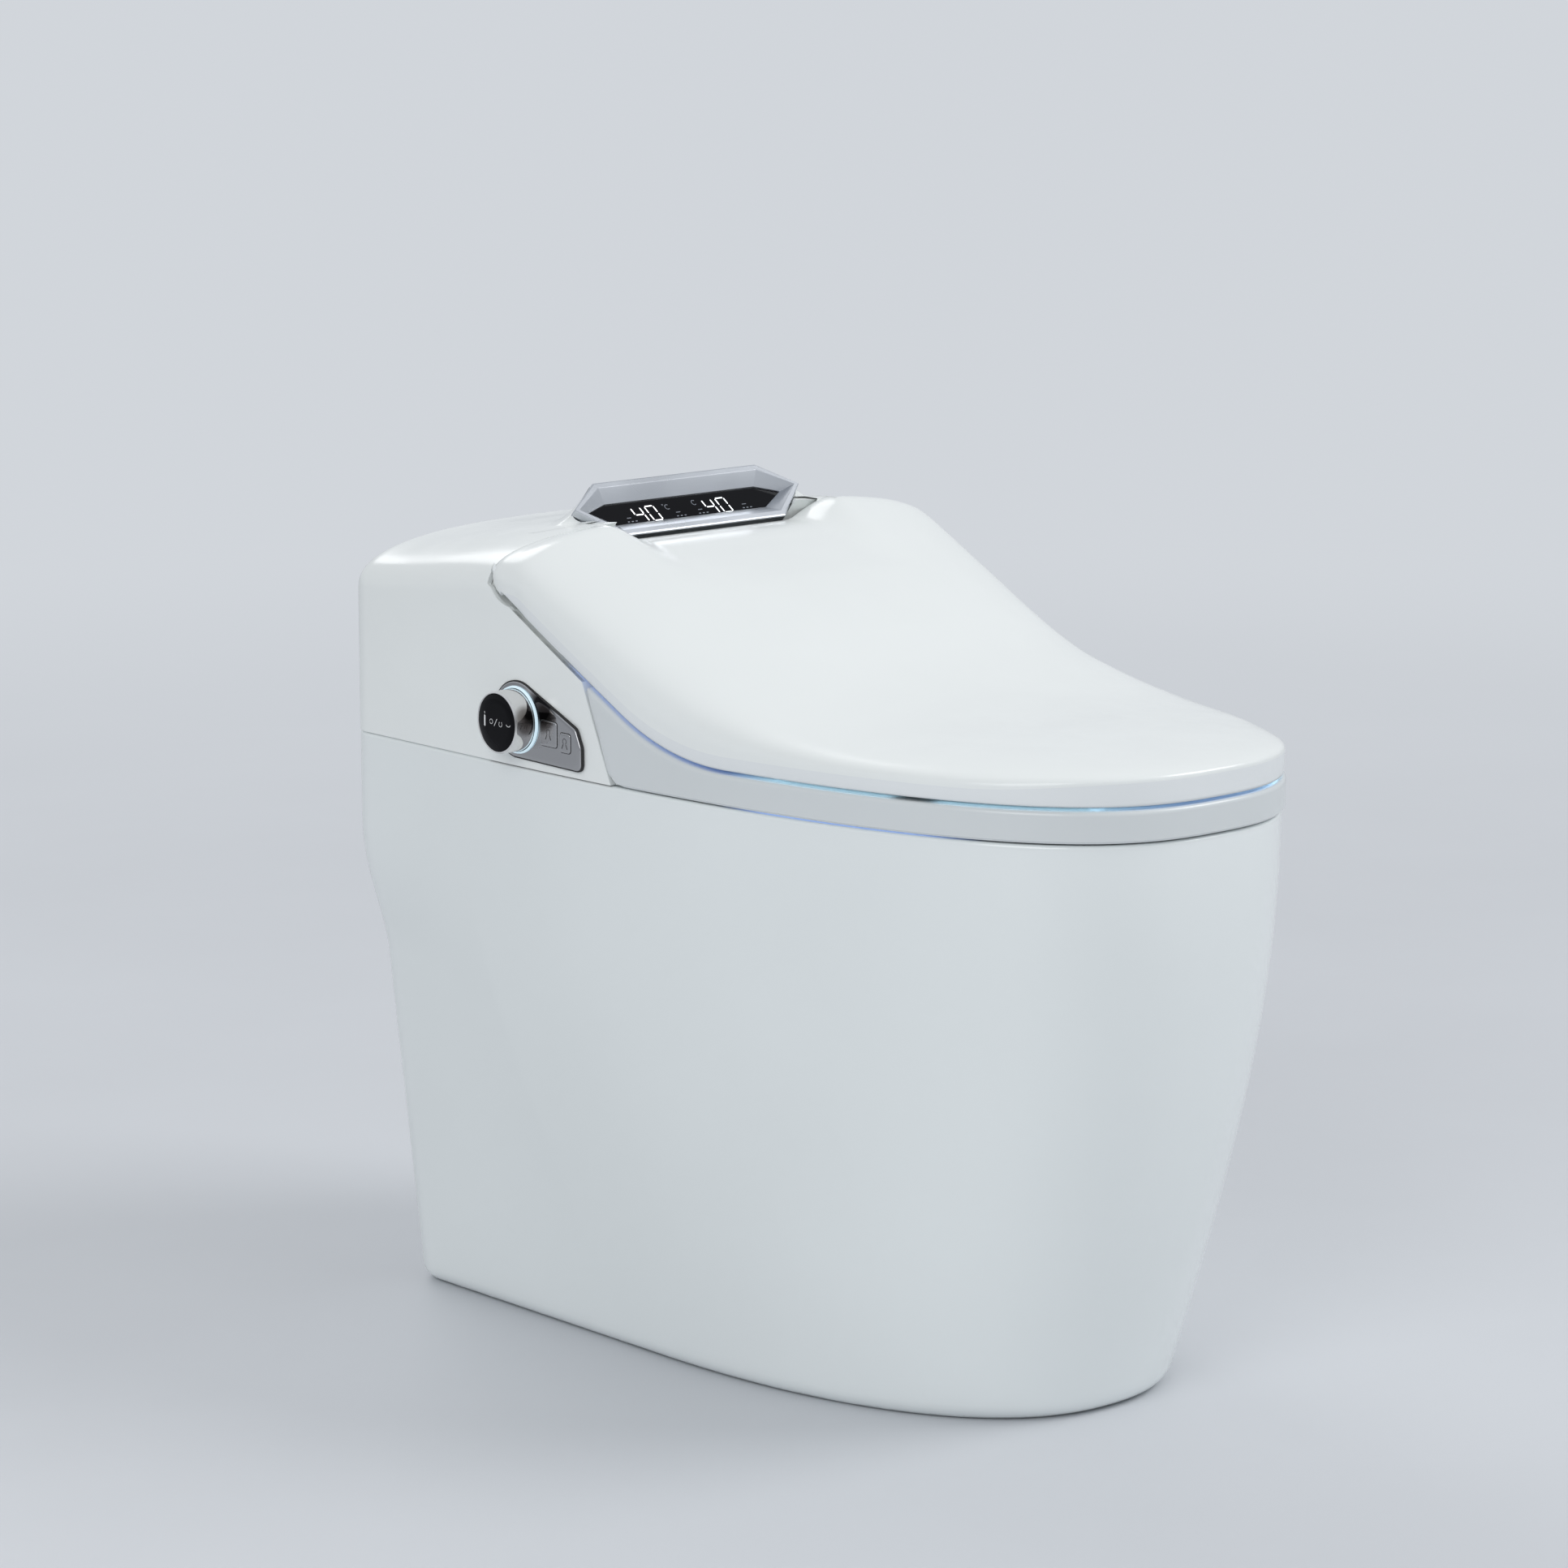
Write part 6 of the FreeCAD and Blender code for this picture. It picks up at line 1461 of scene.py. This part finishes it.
class TOILET_OT_controls(bpy.types.Operator):
    """Side plate, knob, light ring and the two buttons with their signs"""
    bl_idname = "toilet.controls"
    bl_label = "Side controls"

    def execute(self, context):
        plate_back = PLATE_X + PLATE_THICK
        plate = cushion_plate(plate_loop(), plate_back, PLATE_X, PLATE_BEVEL, PLATE_MIDDLE, 12)
        add_piece("side_plate_chrome", plate, ["side_mirror"], "root", ("side_plate",),
                  sharp=40.0)
        gasket = plate_loop(GASKET_PROUD)
        rows = [on_side(gasket, plate_back), on_side(gasket, PLATE_X + 0.9),
                on_side(shrink(gasket, 1.2), PLATE_X + 0.8)]
        add_piece("side_plate_gasket", [grid(rows)], ["black_rubber"], "root")
        add_piece("knob_cup", [lathe(KNOB_CUP, KNOB_AXIS)], ["knob_side"], "knob",
                  ("knob_shell",), sharp=40.0)
        add_piece("knob_glass", [lathe(KNOB_GLASS, KNOB_AXIS)], ["black_glass"], "knob",
                  ("knob_face",), sharp=40.0)
        add_piece("knob_halo", [lathe(KNOB_HALO, KNOB_AXIS)], ["pale_light"], "root",
                  ("knob_light_ring",))
        add_lines("knob_signs", plate_of(knob_signs(), on_side, KNOB_X - 0.03), "white_rubber", "knob")
        for name, body, node, size, centre in KEYS:
            corners = np.array([(-1, -1), (1, -1), (1, 1), (-1, 1)]) * size / 2 + centre
            outline = rounded_polygon(corners, KEY_CORNER, 8)
            key = cushion_plate(outline, KEY_BACK_X, KEY_X, KEY_BEVEL, centre, 6)
            add_piece(name, key, ["side_mirror"], body, (node,), sharp=40.0)
            sign = plate_of(key_sign(centre), on_side, KEY_X - 0.04)
            add_lines(name + "_sign", sign, "black_rubber", body)
            # A flat black ring round each key: painted shade of the gap between the key and the plate.
            gap = [on_side(shrink(outline, -0.45), PLATE_X - 0.05),
                   on_side(shrink(outline, 0.1), PLATE_X - 0.06)]
            add_lines(name + "_gap_painted_shade", [grid(gap)], "black_rubber", "root")
        return {"FINISHED"}


class TOILET_OT_fittings(bpy.types.Operator):
    """Finishes on the frame's own pieces: guides, pads, pins, boards, pumps, wands and connections"""
    bl_idname = "toilet.fittings"
    bl_label = "Fittings"

    def execute(self, context):
        for row in frame["record"]["subparts"]:
            dress(row["node"], row["material_slot"])
        dress("lid_light_guide", "lid_glow")
        dress("seat_light_guide", "seat_glow")
        return {"FINISHED"}


class TOILET_OT_stage(bpy.types.Operator):
    """Pale floor, soft lamps, plain world and the camera at the photograph's angle"""
    bl_idname = "toilet.stage"
    bl_label = "Stage"

    def execute(self, context):
        look, scene = settings("toilet_stage"), context.scene
        scene.view_settings.view_transform = "Standard"
        studio_floor(scene, tuple(look.floor))
        studio_world(scene)
        for name, place, aim, size, power in LAMPS:
            lamp = bpy.data.lights.new(name, "AREA")
            lamp.shape = "DISK"
            lamp.size = size
            lamp.energy = power
            away = Vector(place) - Vector(aim)
            turn = away.to_track_quat("Z", "Y").to_matrix().to_4x4()
            put(scene, name, lamp).matrix_world = Matrix.Translation(place) @ turn
        camera = bpy.data.cameras.new("camera")
        camera.lens = look.lens
        camera.sensor_width = SENSOR
        camera.clip_end = CLIP_END
        scene.camera = put(scene, "camera", camera)
        scene.camera.matrix_world = camera_place()
        return {"FINISHED"}


def put(scene, name, data):
    """New object in the scene."""
    item = bpy.data.objects.new(name, data)
    scene.collection.objects.link(item)
    return item


def studio_floor(scene, colour):
    """Floor that blends into the plain backdrop with distance, for the camera alone."""
    mesh = bpy.data.meshes.new("floor")
    corners = [(-FLOOR_HALF, -FLOOR_HALF, 0), (FLOOR_HALF, -FLOOR_HALF, 0), (FLOOR_HALF, FLOOR_HALF, 0),
               (-FLOOR_HALF, FLOOR_HALF, 0)]
    mesh.from_pydata(corners, [], [(0, 1, 2, 3)])
    floor = put(scene, "floor", mesh)
    f = Finish("studio_floor")
    f.colours(f.noise(1.2, 4.0), tint(colour, 0.97), tint(colour, 1.02))
    f.roughness(f.noise(6.0, 4.0), 0.42, 0.55)
    away = f.add("VectorMath", {0: f.place}, operation="LENGTH").outputs["Value"]
    far = f.add("MapRange", {"Value": away, "From Min": FADE_SPAN[0], "From Max": FADE_SPAN[1]},
                interpolation_type="SMOOTHSTEP").outputs["Result"]
    both = f.sum_of("MULTIPLY", far, f.add("LightPath").outputs["Is Camera Ray"])
    plain = f.add("Emission", {"Color": (*BACKDROP, 1.0)}).outputs["Emission"]
    mix = f.add("MixShader", {"Fac": both, 1: f.shader.outputs["BSDF"], 2: plain})
    f.tree.links.new(mix.outputs["Shader"], f.out.inputs["Surface"])
    mesh.materials.append(f.material)


def studio_world(scene):
    """Plain white light, with the backdrop's colour for camera and glossy rays."""
    world = bpy.data.worlds.new("studio")
    scene.world = world
    world.use_nodes = True
    tree = world.node_tree
    tree.nodes.clear()
    path = add_node(tree, "LightPath").outputs
    either = add_node(tree, "Math", {0: path["Is Camera Ray"], 1: path["Is Glossy Ray"]}, operation="MAXIMUM")
    plain = add_node(tree, "Background", {"Color": (*SKY, 1.0), "Strength": SKY_STRENGTH})
    seen = add_node(tree, "Background", {"Color": (*BACKDROP, 1.0), "Strength": 1.0})
    mix = add_node(tree, "MixShader", {"Fac": either.outputs["Value"], 1: plain.outputs["Background"],
                                       2: seen.outputs["Background"]})
    add_node(tree, "OutputWorld", {"Surface": mix.outputs["Shader"]})


def camera_place():
    """Camera matrix from its turn about Z and its rise over the level, without roll."""
    turn = Matrix.Rotation(CAMERA_TURN, 4, "Z")
    tilt = Matrix.Rotation(math.pi / 2 - CAMERA_RISE, 4, "X")
    return Matrix.Translation(CAMERA_PLACE) @ turn @ tilt


class TOILET_PT_panel(bpy.types.Panel):
    """Settings and steps of the toilet's dressing"""
    bl_idname = "TOILET_PT_panel"
    bl_label = "Smart toilet"
    bl_space_type = "VIEW_3D"
    bl_region_type = "UI"
    bl_category = "Toilet"

    def draw(self, context):
        for name, group in GROUPS.items():
            box = self.layout.box()
            box.label(text=group.__doc__)
            for key in group.__annotations__:
                box.prop(getattr(context.scene, name), key)
        for operator in OPERATORS:
            self.layout.operator(operator.bl_idname)


OPERATORS = (TOILET_OT_stage, TOILET_OT_fittings, TOILET_OT_ceramic, TOILET_OT_seat, TOILET_OT_lid,
             TOILET_OT_housing, TOILET_OT_display, TOILET_OT_controls)


def register():
    """Adds the settings, operators and panel."""
    for name, group in GROUPS.items():
        bpy.utils.register_class(group)
        setattr(bpy.types.Scene, name, bpy.props.PointerProperty(type=group))
    for item in OPERATORS + (TOILET_PT_panel,):
        bpy.utils.register_class(item)


def unregister():
    """Takes them away again."""
    for item in reversed(OPERATORS + (TOILET_PT_panel,)):
        bpy.utils.unregister_class(item)
    for name, group in GROUPS.items():
        delattr(bpy.types.Scene, name)
        bpy.utils.unregister_class(group)


def main():
    """Registers everything and runs the operators in order."""
    register()
    bpy.ops.toilet.stage()
    bpy.ops.toilet.fittings()
    bpy.ops.toilet.ceramic()
    bpy.ops.toilet.seat()
    bpy.ops.toilet.lid()
    bpy.ops.toilet.housing()
    bpy.ops.toilet.display()
    bpy.ops.toilet.controls()


if __name__ == "__main__":
    main()
